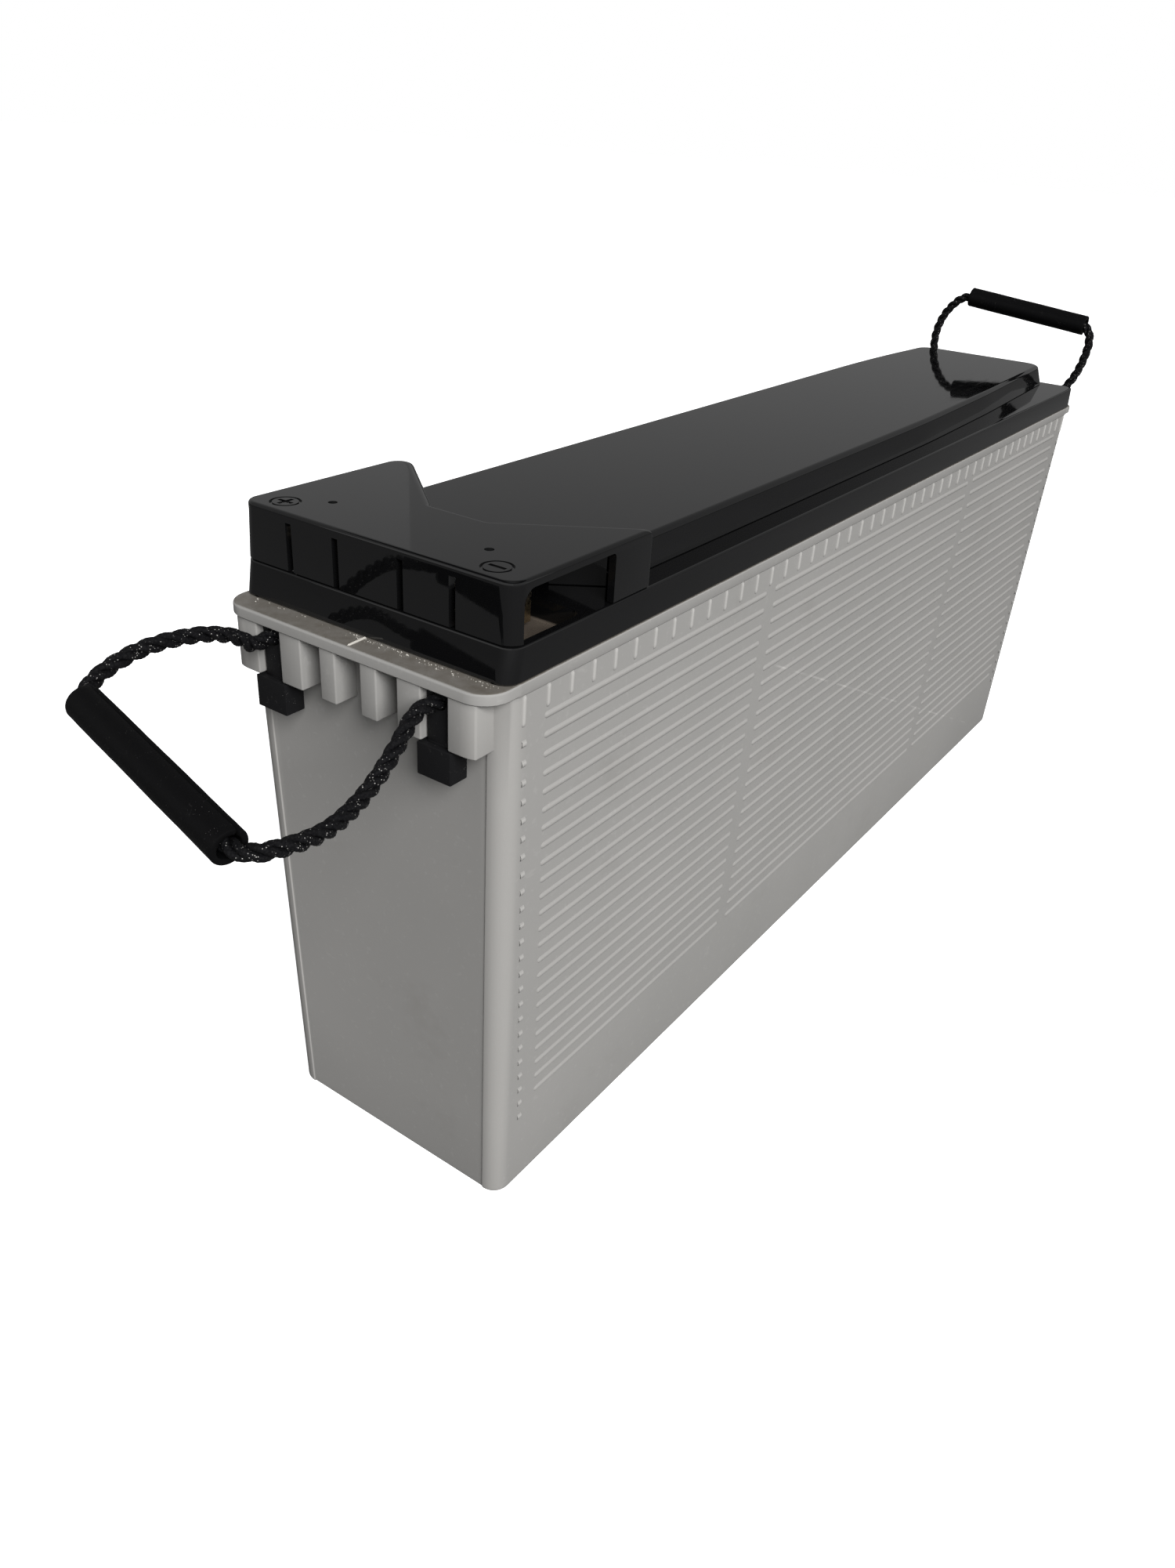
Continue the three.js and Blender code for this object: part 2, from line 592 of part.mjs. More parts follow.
function ropeTube(route) {
  const curve = new THREE.CatmullRomCurve3(route.map((p) => new THREE.Vector3(...p)), false, "centripetal");
  const section = new THREE.Shape();
  section.absarc(0, 0, ROPE.radius, 0, 2 * Math.PI);
  const options = { steps: ROPE.steps, curveSegments: ROPE.sides / 2, extrudePath: curve };
  return solid(new THREE.ExtrudeGeometry(section, options));
}

// A split tube: its slit runs the whole length and faces the axis's local +X.
function gripTube() {
  const shape = new THREE.Shape();
  shape.absarc(0, 0, GRIP.outer, GRIP.slit, 2 * Math.PI - GRIP.slit, false);
  shape.absarc(0, 0, GRIP.inner, 2 * Math.PI - GRIP.slit, GRIP.slit, true);
  const options = { depth: GRIP.length, curveSegments: 10, bevelEnabled: false };
  return new THREE.ExtrudeGeometry(shape, options).translate(0, 0, -GRIP.length / 2);
}

function addHandle(end, route, slitDirection) {
  add(`${end}_rope`, ropeTube(route), ropeBlack);
  const [a, b] = gripEnds[end].map((p) => new THREE.Vector3(...p));
  const grip = place(`${end}_grip`, geometryOf(solid(gripTube())), mattBlack);
  const axis = b.clone().sub(a).normalize();
  const side = slitDirection.clone().addScaledVector(axis, -slitDirection.dot(axis)).normalize();
  const basis = new THREE.Matrix4().makeBasis(side, axis.clone().cross(side), axis);
  grip.quaternion.setFromRotationMatrix(basis);
  grip.position.copy(a.add(b).multiplyScalar(0.5));
}

// ---- assembly -----------------------------------------------------------------------------
add("container", container(), greyPlastic);
add("lid", lid(), glossBlack);
add("top_cover", topCover(), glossBlack);
add("terminal_cover", terminalCover(), glossBlack);
addCells();
addTerminal("positive", 1, redSeal);
addTerminal("negative", -1, blackSeal);
addVents();
addAnchors("near", (anchor) => anchor);
addAnchors("far", toFarEnd);
addHandle("near", nearRoute, new THREE.Vector3(0.6, 0, 1));
addHandle("far", farRoute, new THREE.Vector3(0.4, 0, -1));

export default battery;
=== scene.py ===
"""Looks of a slim front-terminal deep cycle battery with two rope carry handles.

Lengths are written in millimetres and turned into metres when a mesh is made. X runs along the
battery with the terminals at -X, Z is up, and the origin is the centre of the container's bottom.
"""
import json
import math
import random

import bmesh
import bpy
from mathutils import Matrix, Vector


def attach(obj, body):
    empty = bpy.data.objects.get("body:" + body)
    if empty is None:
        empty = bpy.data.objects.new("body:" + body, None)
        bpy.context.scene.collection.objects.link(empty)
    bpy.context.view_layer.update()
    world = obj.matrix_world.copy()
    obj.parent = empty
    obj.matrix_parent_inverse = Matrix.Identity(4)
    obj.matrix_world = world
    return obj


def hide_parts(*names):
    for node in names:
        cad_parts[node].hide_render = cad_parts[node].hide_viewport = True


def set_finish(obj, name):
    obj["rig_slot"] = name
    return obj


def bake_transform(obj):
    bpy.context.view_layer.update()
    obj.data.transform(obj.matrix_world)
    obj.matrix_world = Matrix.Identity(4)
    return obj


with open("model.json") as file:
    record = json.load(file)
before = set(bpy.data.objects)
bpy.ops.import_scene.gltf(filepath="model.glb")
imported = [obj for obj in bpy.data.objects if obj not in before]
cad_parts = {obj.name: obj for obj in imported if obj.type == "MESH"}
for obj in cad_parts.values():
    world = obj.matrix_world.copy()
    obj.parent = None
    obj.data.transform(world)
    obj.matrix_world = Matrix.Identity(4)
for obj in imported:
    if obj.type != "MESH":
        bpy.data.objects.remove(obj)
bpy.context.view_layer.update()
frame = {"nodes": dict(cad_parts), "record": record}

MM = 0.001
ROOT = "battery"

# ---- driving sizes -------------------
LENGTH, WIDTH = 551.0, 110.0
FOOT = (524.4, 102.4)
SHOULDER = (533.4, 109.0)
FLANGE_UNDER, FLANGE_TOP = 204.8, 208.7
BAY_FLOOR = 213.0
CUT = ("gloss_black", None)  # slot and body of a tool that is cut away and removed
SIDE_SLOPE = (SHOULDER[1] - FOOT[1]) / 2 / FLANGE_UNDER

# ---- camera --------------------------
CAMERA = {"azimuth": -56.09, "elevation": 29.69, "roll": 3.55, "lens": 27.38,
          "place": (-501.2, -240.7, 350.8)}


def add_camera():
    azimuth = math.radians(CAMERA["azimuth"])
    elevation = math.radians(CAMERA["elevation"])
    roll = math.radians(CAMERA["roll"])
    back = Vector((math.sin(azimuth) * math.cos(elevation),
                   -math.cos(azimuth) * math.cos(elevation), math.sin(elevation)))
    right = Vector((math.cos(azimuth), math.sin(azimuth), 0))
    up = back.cross(right)
    right, up = (right * math.cos(roll) + up * math.sin(roll),
                 up * math.cos(roll) - right * math.sin(roll))
    turn = Matrix((right, up, back)).transposed().to_4x4()
    camera = bpy.data.objects.new("camera", bpy.data.cameras.new("camera"))
    camera.data.lens = CAMERA["lens"]
    camera.data.sensor_width = 36
    camera.data.sensor_fit = "AUTO"
    camera.data.clip_start = 0.01
    camera.matrix_world = Matrix.Translation(Vector(CAMERA["place"]) * MM) @ turn
    bpy.context.scene.collection.objects.link(camera)
    bpy.context.scene.camera = camera


# ---- material nodes ------------------
class Shader:
    """A material's node tree, with short calls for the textures it is built from."""

    def __init__(self, name):
        self.material = bpy.data.materials.new(name)
        self.material.use_nodes = True
        self.tree = self.material.node_tree
        self.surface = self.tree.nodes["Principled BSDF"]
        self.place = self.node("ShaderNodeTexCoord").outputs["Object"]

    def node(self, kind, **values):
        made = self.tree.nodes.new(kind)
        for key, value in values.items():
            setattr(made, key, value)
        return made

    def link(self, source, target):
        self.tree.links.new(source, target)

    def feed(self, socket, value):
        if isinstance(value, bpy.types.NodeSocket):
            self.link(value, socket)
        else:
            socket.default_value = value

    def set(self, **values):
        for key, value in values.items():
            self.feed(self.surface.inputs[key.replace("_", " ")], value)

    def stretched(self, scale):
        mapping = self.node("ShaderNodeMapping")
        self.link(self.place, mapping.inputs["Vector"])
        mapping.inputs["Scale"].default_value = scale
        return mapping.outputs["Vector"]

    def noise(self, scale, detail=4.0, roughness=0.55, stretch=None, distortion=0.0):
        made = self.node("ShaderNodeTexNoise")
        self.link(self.stretched(stretch) if stretch else self.place, made.inputs["Vector"])
        made.inputs["Scale"].default_value = scale
        made.inputs["Detail"].default_value = detail
        made.inputs["Roughness"].default_value = roughness
        made.inputs["Distortion"].default_value = distortion
        return made.outputs["Fac"]

    def cells(self, scale, stretch=None, feature="F1", randomness=1.0):
        made = self.node("ShaderNodeTexVoronoi", feature=feature)
        self.link(self.stretched(stretch) if stretch else self.place, made.inputs["Vector"])
        made.inputs["Scale"].default_value = scale
        made.inputs["Randomness"].default_value = randomness
        return made.outputs["Distance"]

    def spread(self, value, low, high, start=0.0, end=1.0):
        made = self.node("ShaderNodeMapRange", clamp=True)
        self.link(value, made.inputs["Value"])
        for key, number in (("From Min", low), ("From Max", high), ("To Min", start), ("To Max", end)):
            made.inputs[key].default_value = number
        return made.outputs["Result"]

    def math(self, operation, a, b=0.0):
        made = self.node("ShaderNodeMath", operation=operation)
        self.feed(made.inputs[0], a)
        self.feed(made.inputs[1], b)
        return made.outputs[0]

    def times(self, a, b):
        return self.math("MULTIPLY", a, b)

    def mix(self, factor, a, b):
        made = self.node("ShaderNodeMix", data_type="RGBA")
        self.feed(made.inputs["Factor"], factor)
        for key, value in (("A", a), ("B", b)):
            socket = [s for s in made.inputs if s.name == key and s.type == "RGBA"][0]
            self.feed(socket, (*value, 1) if isinstance(value, tuple) else value)
        return [s for s in made.outputs if s.type == "RGBA"][0]

    def axis(self, name):
        made = self.node("ShaderNodeSeparateXYZ")
        self.link(self.place, made.inputs[0])
        return made.outputs[name]

    def either_way(self, name):
        return self.math("ABSOLUTE", self.axis(name))

    def past(self, value, level, low, high, start=0.0, end=1.0):
        """Goes from start to end between two distances in mm from a level in mm."""
        return self.spread(value, (level + low) * MM, (level + high) * MM, start, end)

    def bump(self, height, strength, distance):
        made = self.node("ShaderNodeBump")
        made.inputs["Strength"].default_value = strength
        made.inputs["Distance"].default_value = distance
        self.link(height, made.inputs["Height"])
        self.link(made.outputs["Normal"], self.surface.inputs["Normal"])


# Where the painted corner highlight starts: |X| and |Y| in mm.
POST_EDGE = (257, 44)
RIB_END = 249
TICK_FOOT = 196
# The long scuff low on the -Y side: its height at X = 0, its fall along X and where it starts.
SCUFF = {"height": 115.2, "fall": 0.4655, "start": -94}


def painted_corner_highlight(s):
    """A mask of the corner posts below the flange, where a highlight is painted."""
    post = s.times(s.past(s.either_way("X"), POST_EDGE[0], -0.2, 2.8),
                   s.past(s.either_way("Y"), POST_EDGE[1], 0, 1.2))
    return s.times(post, s.past(s.axis("Z"), FLANGE_UNDER, -1.8, -0.8, 0.8, 0))


def painted_rib_highlight(s):
    """A mask of what stands proud of the long sides, where a highlight is painted, weaker on the long ribs.
    """
    z = s.axis("Z")
    side = s.math("ADD", s.times(z, SIDE_SLOPE), FOOT[1] / 2 * MM)
    proud = s.past(s.math("SUBTRACT", s.either_way("Y"), side), 0, 0.18, 0.42)
    proud = s.times(proud, s.past(z, FLANGE_UNDER, -0.4, -0.1, 0.5, 0))
    ribbed = s.past(s.either_way("X"), RIB_END, -0.5, 1.0, 0.45, 1)
    return s.times(proud, s.math("MAXIMUM", ribbed, s.past(z, TICK_FOOT, -0.2, 0.2)))


def long_scuff(s):
    """A mask of the broken scuff that runs down one long side."""
    x = s.axis("X")
    level = s.math("ADD", s.axis("Z"), s.times(x, SCUFF["fall"]))
    off = s.math("ABSOLUTE", s.math("ADD", level, -SCUFF["height"] * MM))
    broken = s.spread(s.noise(55.0, 4), 0.45, 0.6, 0, 0.35)
    scuff = s.times(s.past(off, 0, 0.2, 0.6, 1, 0), broken)
    scuff = s.times(scuff, s.past(s.axis("Y"), -44, -1, 0, 1, 0))
    return s.times(scuff, s.past(x, SCUFF["start"], -2, 2))


def case_plastic():
    s = Shader("case_grey_plastic")
    clouds = s.noise(9.0, 3)
    grain = s.noise(1400.0, 2)
    tone = s.mix(s.spread(clouds, 0.35, 0.68), (0.219, 0.215, 0.207), (0.230, 0.225, 0.217))
    tone = s.mix(s.spread(s.noise(420.0, 3), 0.60, 0.72, 0, 0.22), tone, (0.31, 0.305, 0.295))
    rubs = s.noise(38.0, 6, 0.7, stretch=(0.35, 1.0, 1.0), distortion=1.5)
    tone = s.mix(s.spread(rubs, 0.66, 0.78, 0, 0.45), tone, (0.36, 0.35, 0.335))
    grime = s.noise(22.0, 5, 0.65)
    tone = s.mix(s.spread(grime, 0.60, 0.74, 0, 0.25), tone, (0.155, 0.147, 0.136))
    # Painted highlight: the corner posts are given a lighter tone.
    tone = s.mix(painted_corner_highlight(s), tone, (0.252, 0.246, 0.236))
    # Painted highlight: a lighter tone on the rib crests, the dots and the ticks.
    tone = s.mix(painted_rib_highlight(s), tone, (0.36, 0.352, 0.338))
    tone = s.mix(long_scuff(s), tone, (0.42, 0.41, 0.395))
    # Painted glints: a pale tone on the weld flash specks and the parting-line bead.
    flash = s.past(s.axis("Z"), FLANGE_TOP, 0.06, 0.14)
    tone = s.mix(s.times(flash, 0.8), tone, (0.44, 0.42, 0.38))
    melt = s.spread(s.noise(160.0, 5, 0.7), 0.3, 0.7, 0.62, 0.95)
    tone = s.mix(s.times(melted_ledge(s, flash), melt), tone, (0.085, 0.075, 0.062))
    s.set(Base_Color=tone, Roughness=s.spread(clouds, 0.3, 0.7, 0.36, 0.47))
    s.set(Specular_IOR_Level=0.45)
    s.bump(grain, 0.25, 0.00008)
    return s.material


def melted_ledge(s, flash):
    """A mask of the flange's top, browned where the lid is fused to it, but not of the flash."""
    top = s.past(s.axis("Z"), FLANGE_TOP, -0.18, -0.08)
    ledge = s.times(top, s.past(s.either_way("X"), LENGTH / 2, -1.1, -0.4, 1, 0))
    return s.times(ledge, s.math("SUBTRACT", 1.0, flash))


def gloss_black():
    s = Shader("lid_gloss_black")
    wear = s.noise(900.0, 2)
    hairline = s.noise(60.0, 5, 0.6, stretch=(1.0, 9.0, 4.0), distortion=0.6)
    dust = s.spread(s.cells(620.0), 0.03, 0.075, 1, 0)
    rare = s.spread(s.noise(24.0, 3), 0.56, 0.72)
    speck = s.times(dust, rare)
    base = s.mix(s.times(speck, 0.18), (0.0028, 0.0028, 0.003), (0.10, 0.095, 0.09))
    # Painted light: a brownish lit tone on the bay floor, seen through the windows.
    bay = painted_bay_light(s)
    bay_light_tone = s.mix(s.spread(s.noise(70.0, 4), 0.35, 0.7), (0.10, 0.082, 0.066), (0.06, 0.05, 0.041))
    base = s.mix(bay, base, bay_light_tone)
    rough = s.math("ADD", s.spread(hairline, 0.45, 0.75, 0.03, 0.09), s.times(speck, 0.2))
    s.set(Base_Color=base, Roughness=s.math("ADD", rough, s.times(bay, 0.3)))
    s.set(Specular_IOR_Level=0.5)
    s.bump(s.math("ADD", s.noise(16.0, 2), s.times(wear, 0.06)), 0.007, 0.002)
    return s.material


def painted_bay_light(s):
    """A mask of the bay floor round the terminals, where light is painted in a brownish tone and the gloss
    is duller.
    """
    z, x = s.axis("Z"), s.axis("X")
    floor = s.times(s.past(z, BAY_FLOOR, -0.5, -0.2), s.past(z, BAY_FLOOR, 0.6, 0.9, 1, 0))
    within = s.times(s.past(x, -263, 0, 1), s.past(x, -228, -1, 0, 1, 0))
    return s.times(s.times(floor, within), s.past(s.either_way("Y"), 52, -1, 0, 0.8, 0))


def matt_black(name, tint, rough, dusty):
    s = Shader(name)
    grain = s.noise(1800.0, 3)
    specks = s.times(s.spread(s.cells(1500.0), 0.05, 0.16, 1, 0),
                     s.spread(s.noise(170.0, 3), 0.55, 0.7))
    scuffs = s.spread(s.noise(260.0, 5, 0.7, distortion=2.0), 0.62, 0.75)
    tone = s.mix(s.times(specks, dusty), tint, (0.42, 0.41, 0.39))
    tone = s.mix(s.times(scuffs, dusty * 0.25), tone, (0.16, 0.155, 0.15))
    s.set(Base_Color=tone, Roughness=s.spread(grain, 0.3, 0.7, rough - 0.08, rough + 0.1))
    s.set(Specular_IOR_Level=0.06)
    s.bump(grain, 0.35, 0.00012)
    return s.material


def rope_fibre():
    s = Shader("rope_black_fibre")
    yarns = s.cells(1500.0)
    fibres = s.noise(4200.0, 4, 0.65)
    glints = s.times(s.spread(s.cells(1250.0), 0.10, 0.24, 1, 0),
                     s.spread(s.noise(480.0, 2), 0.47, 0.56))
    tone = s.mix(s.spread(yarns, 0.1, 0.7), (0.0065, 0.0065, 0.007), (0.0025, 0.0025, 0.003))
    tone = s.mix(s.times(glints, 0.75), tone, (0.46, 0.45, 0.43))
    s.set(Base_Color=tone, Roughness=s.spread(fibres, 0.3, 0.7, 0.40, 0.68))
    s.set(Specular_IOR_Level=0.2)
    s.bump(s.math("ADD", yarns, s.times(fibres, 0.5)), 0.6, 0.0003)
    return s.material


def metal(name, tint, dull, rough):
    s = Shader(name)
    lines = s.noise(700.0, 5, 0.6)
    stains = s.spread(s.noise(120.0, 4), 0.45, 0.72)
    s.set(Base_Color=s.mix(stains, tint, dull), Metallic=1.0)
    s.set(Roughness=s.spread(lines, 0.3, 0.7, rough - 0.07, rough + 0.12))
    s.bump(lines, 0.3, 0.00008)
    return s.material


def paste(name, tint, dark, metallic):
    s = Shader(name)
    grid = s.cells(160.0, stretch=(0.6, 1.0, 1.6), feature="DISTANCE_TO_EDGE", randomness=0.15)
    dust = s.noise(900.0, 5)
    s.set(Base_Color=s.mix(s.spread(dust, 0.35, 0.7), tint, dark), Metallic=metallic)
    s.set(Roughness=s.spread(dust, 0.3, 0.7, 0.75, 0.95))
    s.bump(s.math("ADD", s.spread(grid, 0.0, 0.06), s.times(dust, 0.3)), 0.5, 0.0004)
    return s.material


def glass_mat():
    s = Shader("glass_fibre_mat")
    fibres = s.noise(1500.0, 6, 0.7, stretch=(0.25, 1.0, 1.0))
    clumps = s.noise(90.0, 4)
    s.set(Base_Color=s.mix(s.spread(clumps, 0.3, 0.7), (0.80, 0.79, 0.75), (0.68, 0.67, 0.63)))
    s.set(Roughness=s.spread(fibres, 0.3, 0.7, 0.85, 1.0), Sheen_Weight=0.2)
    s.bump(fibres, 0.6, 0.0003)
    return s.material


def rubber(name, tint, light):
    s = Shader(name)
    bloom = s.noise(240.0, 4)
    grain = s.noise(1700.0, 3)
    s.set(Base_Color=s.mix(s.spread(bloom, 0.4, 0.75), tint, light))
    s.set(Roughness=s.spread(bloom, 0.3, 0.7, 0.5, 0.72))
    s.bump(grain, 0.3, 0.0001)
    return s.material


def floor_paint(name, low, high, rough, gloss):
    """A faintly uneven grey between two levels."""
    s = Shader(name)
    s.set(Base_Color=s.mix(s.spread(s.noise(2.0, 2), 0.3, 0.7), (low,) * 3, (high,) * 3))
    s.set(Roughness=rough, Specular_IOR_Level=gloss)
    return s


MATERIALS = {
    "case_plastic": case_plastic(),
    "gloss_black": gloss_black(),
    "anchor_plastic": matt_black("anchor_black_nylon", (0.007, 0.007, 0.0075), 0.42, 0.9),
    "grip_plastic": matt_black("grip_black_tube", (0.003, 0.003, 0.0032), 0.45, 0.3),
    "rope": rope_fibre(),
    "valve_rubber": rubber("valve_black_rubber", (0.02, 0.02, 0.02), (0.045, 0.043, 0.04)),
    "terminal_brass": metal("terminal_tinned_brass", (0.72, 0.60, 0.38), (0.55, 0.50, 0.42), 0.30),
    "seal_positive": rubber("seal_red_epoxy", (0.42, 0.02, 0.015), (0.30, 0.03, 0.02)),
    "seal_negative": rubber("seal_black_epoxy", (0.014, 0.014, 0.016), (0.03, 0.03, 0.03)),
    "fastener_steel": metal("fastener_stainless", (0.66, 0.67, 0.69), (0.50, 0.50, 0.50), 0.26),
    "lead": metal("cast_lead", (0.30, 0.31, 0.33), (0.20, 0.20, 0.21), 0.50),
    "positive_paste": paste("positive_plate_paste", (0.15, 0.075, 0.05), (0.07, 0.035, 0.028), 0.0),
    "negative_paste": paste("negative_plate_paste", (0.23, 0.25, 0.27), (0.13, 0.14, 0.15), 0.5),
    "glass_mat": glass_mat(),
}


# ---- mesh helpers --------------------
def make_piece(name, verts, faces, slot, body=ROOT, sharp=38.0):
    """A mesh object from millimetre points, smooth but for edges sharper than an angle."""
    mesh = bpy.data.meshes.new(name)
    mesh.from_pydata([Vector(v) * MM for v in verts], [], faces)
    return finish_piece(name, mesh, slot, body, sharp)


def finish_piece(name, mesh, slot, body, sharp):
    work = bmesh.new()
    work.from_mesh(mesh)
    bmesh.ops.remove_doubles(work, verts=work.verts, dist=1e-7)
    bmesh.ops.recalc_face_normals(work, faces=work.faces)
    work.to_mesh(mesh)
    work.free()
    piece = bpy.data.objects.new(name, mesh)
    bpy.context.scene.collection.objects.link(piece)
    smooth(mesh, sharp)
    mesh.materials.clear()
    mesh.materials.append(MATERIALS[slot])
    if body:
        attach(piece, body)
    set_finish(piece, slot)
    return piece


def smooth(mesh, sharp):
    for polygon in mesh.polygons:
        polygon.use_smooth = True
    mesh.set_sharp_from_angle(angle=math.radians(sharp))


def apply_modifiers(piece):
    graph = bpy.context.evaluated_depsgraph_get()
    done = bpy.data.meshes.new_from_object(piece.evaluated_get(graph))
    piece.modifiers.clear()
    old = piece.data
    piece.data = done
    bpy.data.meshes.remove(old)


def bevel(piece, width, segments=2, angle=35.0):
    made = piece.modifiers.new("bevel", "BEVEL")
    made.width = width * MM
    made.segments = segments
    made.limit_method = "ANGLE"
    made.angle_limit = math.radians(angle)
    made.harden_normals = False
    made.use_clamp_overlap = True
    apply_modifiers(piece)
    smooth(piece.data, 50.0)


def boolean(piece, others, operation="DIFFERENCE"):
    """Cuts the others from the piece, or joins them to it, and removes them."""
    for other in others:
        made = piece.modifiers.new("boolean", "BOOLEAN")
        made.operation = operation
        made.solver = "EXACT"
        made.object = other
    bpy.context.view_layer.update()
    apply_modifiers(piece)
    for other in others:
        bpy.data.objects.remove(other)
    piece.data.materials.clear()
    piece.data.materials.append(MATERIALS[piece["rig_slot"]])
    for polygon in piece.data.polygons:
        polygon.material_index = 0


def tidy(piece, flat=0.5):
    """Merges doubled points and dissolves the cuts that cross flat faces."""
    work = bmesh.new()
    work.from_mesh(piece.data)
    bmesh.ops.remove_doubles(work, verts=work.verts, dist=2e-6)
    bmesh.ops.dissolve_limit(work, angle_limit=math.radians(flat), verts=work.verts, edges=work.edges)
    work.to_mesh(piece.data)
    work.free()


# ---- outlines and lofts --------------
def rounded(corners, steps=8):
    """Points of a closed anticlockwise outline through (x, y, radius) corners."""
    points = []
    count = len(corners)
    for i, (x, y, radius) in enumerate(corners):
        here = Vector((x, y))
        before = (Vector(corners[i - 1][:2]) - here).normalized()
        after = (Vector(corners[(i + 1) % count][:2]) - here).normalized()
        half = math.acos(max(-1, min(1, before.dot(after)))) / 2
        middle = (before + after).normalized()
        centre = here + middle * (radius / math.sin(half))
        start = here + before * (radius / math.tan(half)) - centre
        cross = after.x * before.y - after.y * before.x
        turn = math.copysign(math.pi - 2 * half, cross)
        for k in range(steps + 1):
            points.append(centre + Matrix.Rotation(turn * k / steps, 2) @ start)
    return points


def inset(corners, distance):
    """The same corners moved inwards, with their radii following."""
    moved = []
    count = len(corners)
    for i, (x, y, radius) in enumerate(corners):
        here = Vector((x, y))
        before = (here - Vector(corners[i - 1][:2])).normalized()
        after = (Vector(corners[(i + 1) % count][:2]) - here).normalized()
        convex = before.x * after.y - before.y * after.x > 0
        normal = Vector((-before.y - after.y, before.x + after.x))
        place = here + normal * (distance / (1 + before.dot(after)))
        moved.append((place.x, place.y, max(radius + (-distance if convex else distance), 0.3)))
    return moved


def rectangle(x, y, radius):
    return [(x[0], y[0], radius), (x[1], y[0], radius), (x[1], y[1], radius), (x[0], y[1], radius)]


def centred(length, width, radius):
    return rectangle((-length / 2, length / 2), (-width / 2, width / 2), radius)


def loft_mesh(layers, steps=8):
    """Vertices and faces of a closed solid through (z, corners) layers, lowest first."""
    rings = [[(p.x, p.y, z) for p in rounded(corners, steps)] for z, corners in layers]
    size = len(rings[0])
    verts = [p for ring in rings for p in ring]
    faces = []
    for r in range(len(rings) - 1):
        for i in range(size):
            a, b = r * size + i, r * size + (i + 1) % size
            faces.append((a, b, b + size, a + size))
    faces.append(tuple(reversed(range(size))))
    faces.append(tuple(range(len(verts) - size, len(verts))))
    return verts, faces


def loft(name, layers, slot, body=ROOT, steps=8, sharp=38.0):
    return make_piece(name, *loft_mesh(layers, steps), slot, body, sharp)


def fillet_layers(corners, z, radius, steps=4):
    """Layers that round an outline's top edge, ending flat at height z."""
    layers = []
    for k in range(steps + 1):
        angle = math.pi / 2 * k / steps
        margin = radius * (1 - math.cos(angle))
        layers.append((z - radius * (1 - math.sin(angle)), inset(corners, margin)))
    return layers + [(z, inset(corners, radius + 0.4))]


def block(name, x, y, z, slot, body=ROOT):
    corners = [(x[0], y[0]), (x[1], y[0]), (x[1], y[1]), (x[0], y[1])]
    verts = [(*c, z[0]) for c in corners] + [(*c, z[1]) for c in corners]
    faces = [(3, 2, 1, 0), (4, 5, 6, 7)] + [(i, (i + 1) % 4, (i + 1) % 4 + 4, i + 4) for i in range(4)]
    return make_piece(name, verts, faces, slot, body)


def rod(name, place, radius, z, slot, body=ROOT, sides=32):
    ring = [(place[0] + radius * math.cos(2 * math.pi * i / sides),
             place[1] + radius * math.sin(2 * math.pi * i / sides)) for i in range(sides)]
    verts = [(*p, z[0]) for p in ring] + [(*p, z[1]) for p in ring]
    faces = [tuple(reversed(range(sides))), tuple(range(sides, 2 * sides))]
    faces += [(i, (i + 1) % sides, (i + 1) % sides + sides, i + sides) for i in range(sides)]
    return make_piece(name, verts, faces, slot, body)


def merge(piece, others):
    """Puts other objects' meshes into the piece, and removes them."""
    work = bmesh.new()
    work.from_mesh(piece.data)
    for other in others:
        work.from_mesh(other.data)
        bpy.data.objects.remove(other)
    work.to_mesh(piece.data)
    work.free()


# ---- container -----------------------
POST = {"round": 6.6, "width": 7.4, "proud": 0.45}
BOTTOM_ROUND = 2.2
WALL, FLOOR, PARTITION = 4.0, 5.0, 2.0
PITCH = 175.0


def length_at(z):
    return FOOT[0] + (SHOULDER[0] - FOOT[0]) * z / FLANGE_UNDER


def width_at(z):
    return FOOT[1] + (SHOULDER[1] - FOOT[1]) * z / FLANGE_UNDER


def case_plan(length, width):
    """Plan of the case: rounded corner posts standing a little proud of the two end faces."""
    corners = []
    for end, side in ((-1, -1), (1, -1), (1, 1), (-1, 1)):
        x, y = end * length / 2, side * width / 2
        post = [(x, y, POST["round"]), (x, y - side * (POST["width"] - 0.3), 0.15),
                (x - end * POST["proud"], y - side * POST["width"], 0.15)]
        corners += post if end == side * -1 else post[::-1]
    return corners


def case_body():
    layers = []
    for k in range(7):
        angle = math.pi / 2 * k / 6
        z = BOTTOM_ROUND * (1 - math.cos(angle))
        margin = BOTTOM_ROUND * (1 - math.sin(angle))
        layers.append((z, inset(case_plan(length_at(z), width_at(z)), margin)))
    for k in range(1, 7):
        z = BOTTOM_ROUND + (FLANGE_UNDER - 0.5 - BOTTOM_ROUND) * k / 6
        layers.append((z, case_plan(length_at(z), width_at(z))))
    step = case_plan(length_at(FLANGE_UNDER), WIDTH - 0.4)
    layers.append((FLANGE_UNDER - 0.1, step))
    full = case_plan(length_at(FLANGE_UNDER), WIDTH)
    layers.append((FLANGE_UNDER + 0.3, full))
    layers.append((FLANGE_TOP - 0.4, full))
    layers.append((FLANGE_TOP, inset(full, 0.4)))
    body = loft("case_shell", layers, "case_plastic", steps=10)
    cells = [cell_space(column, row) for column in (-1, 0, 1) for row in (-1, 1)]
    boolean(body, cells)
    return body


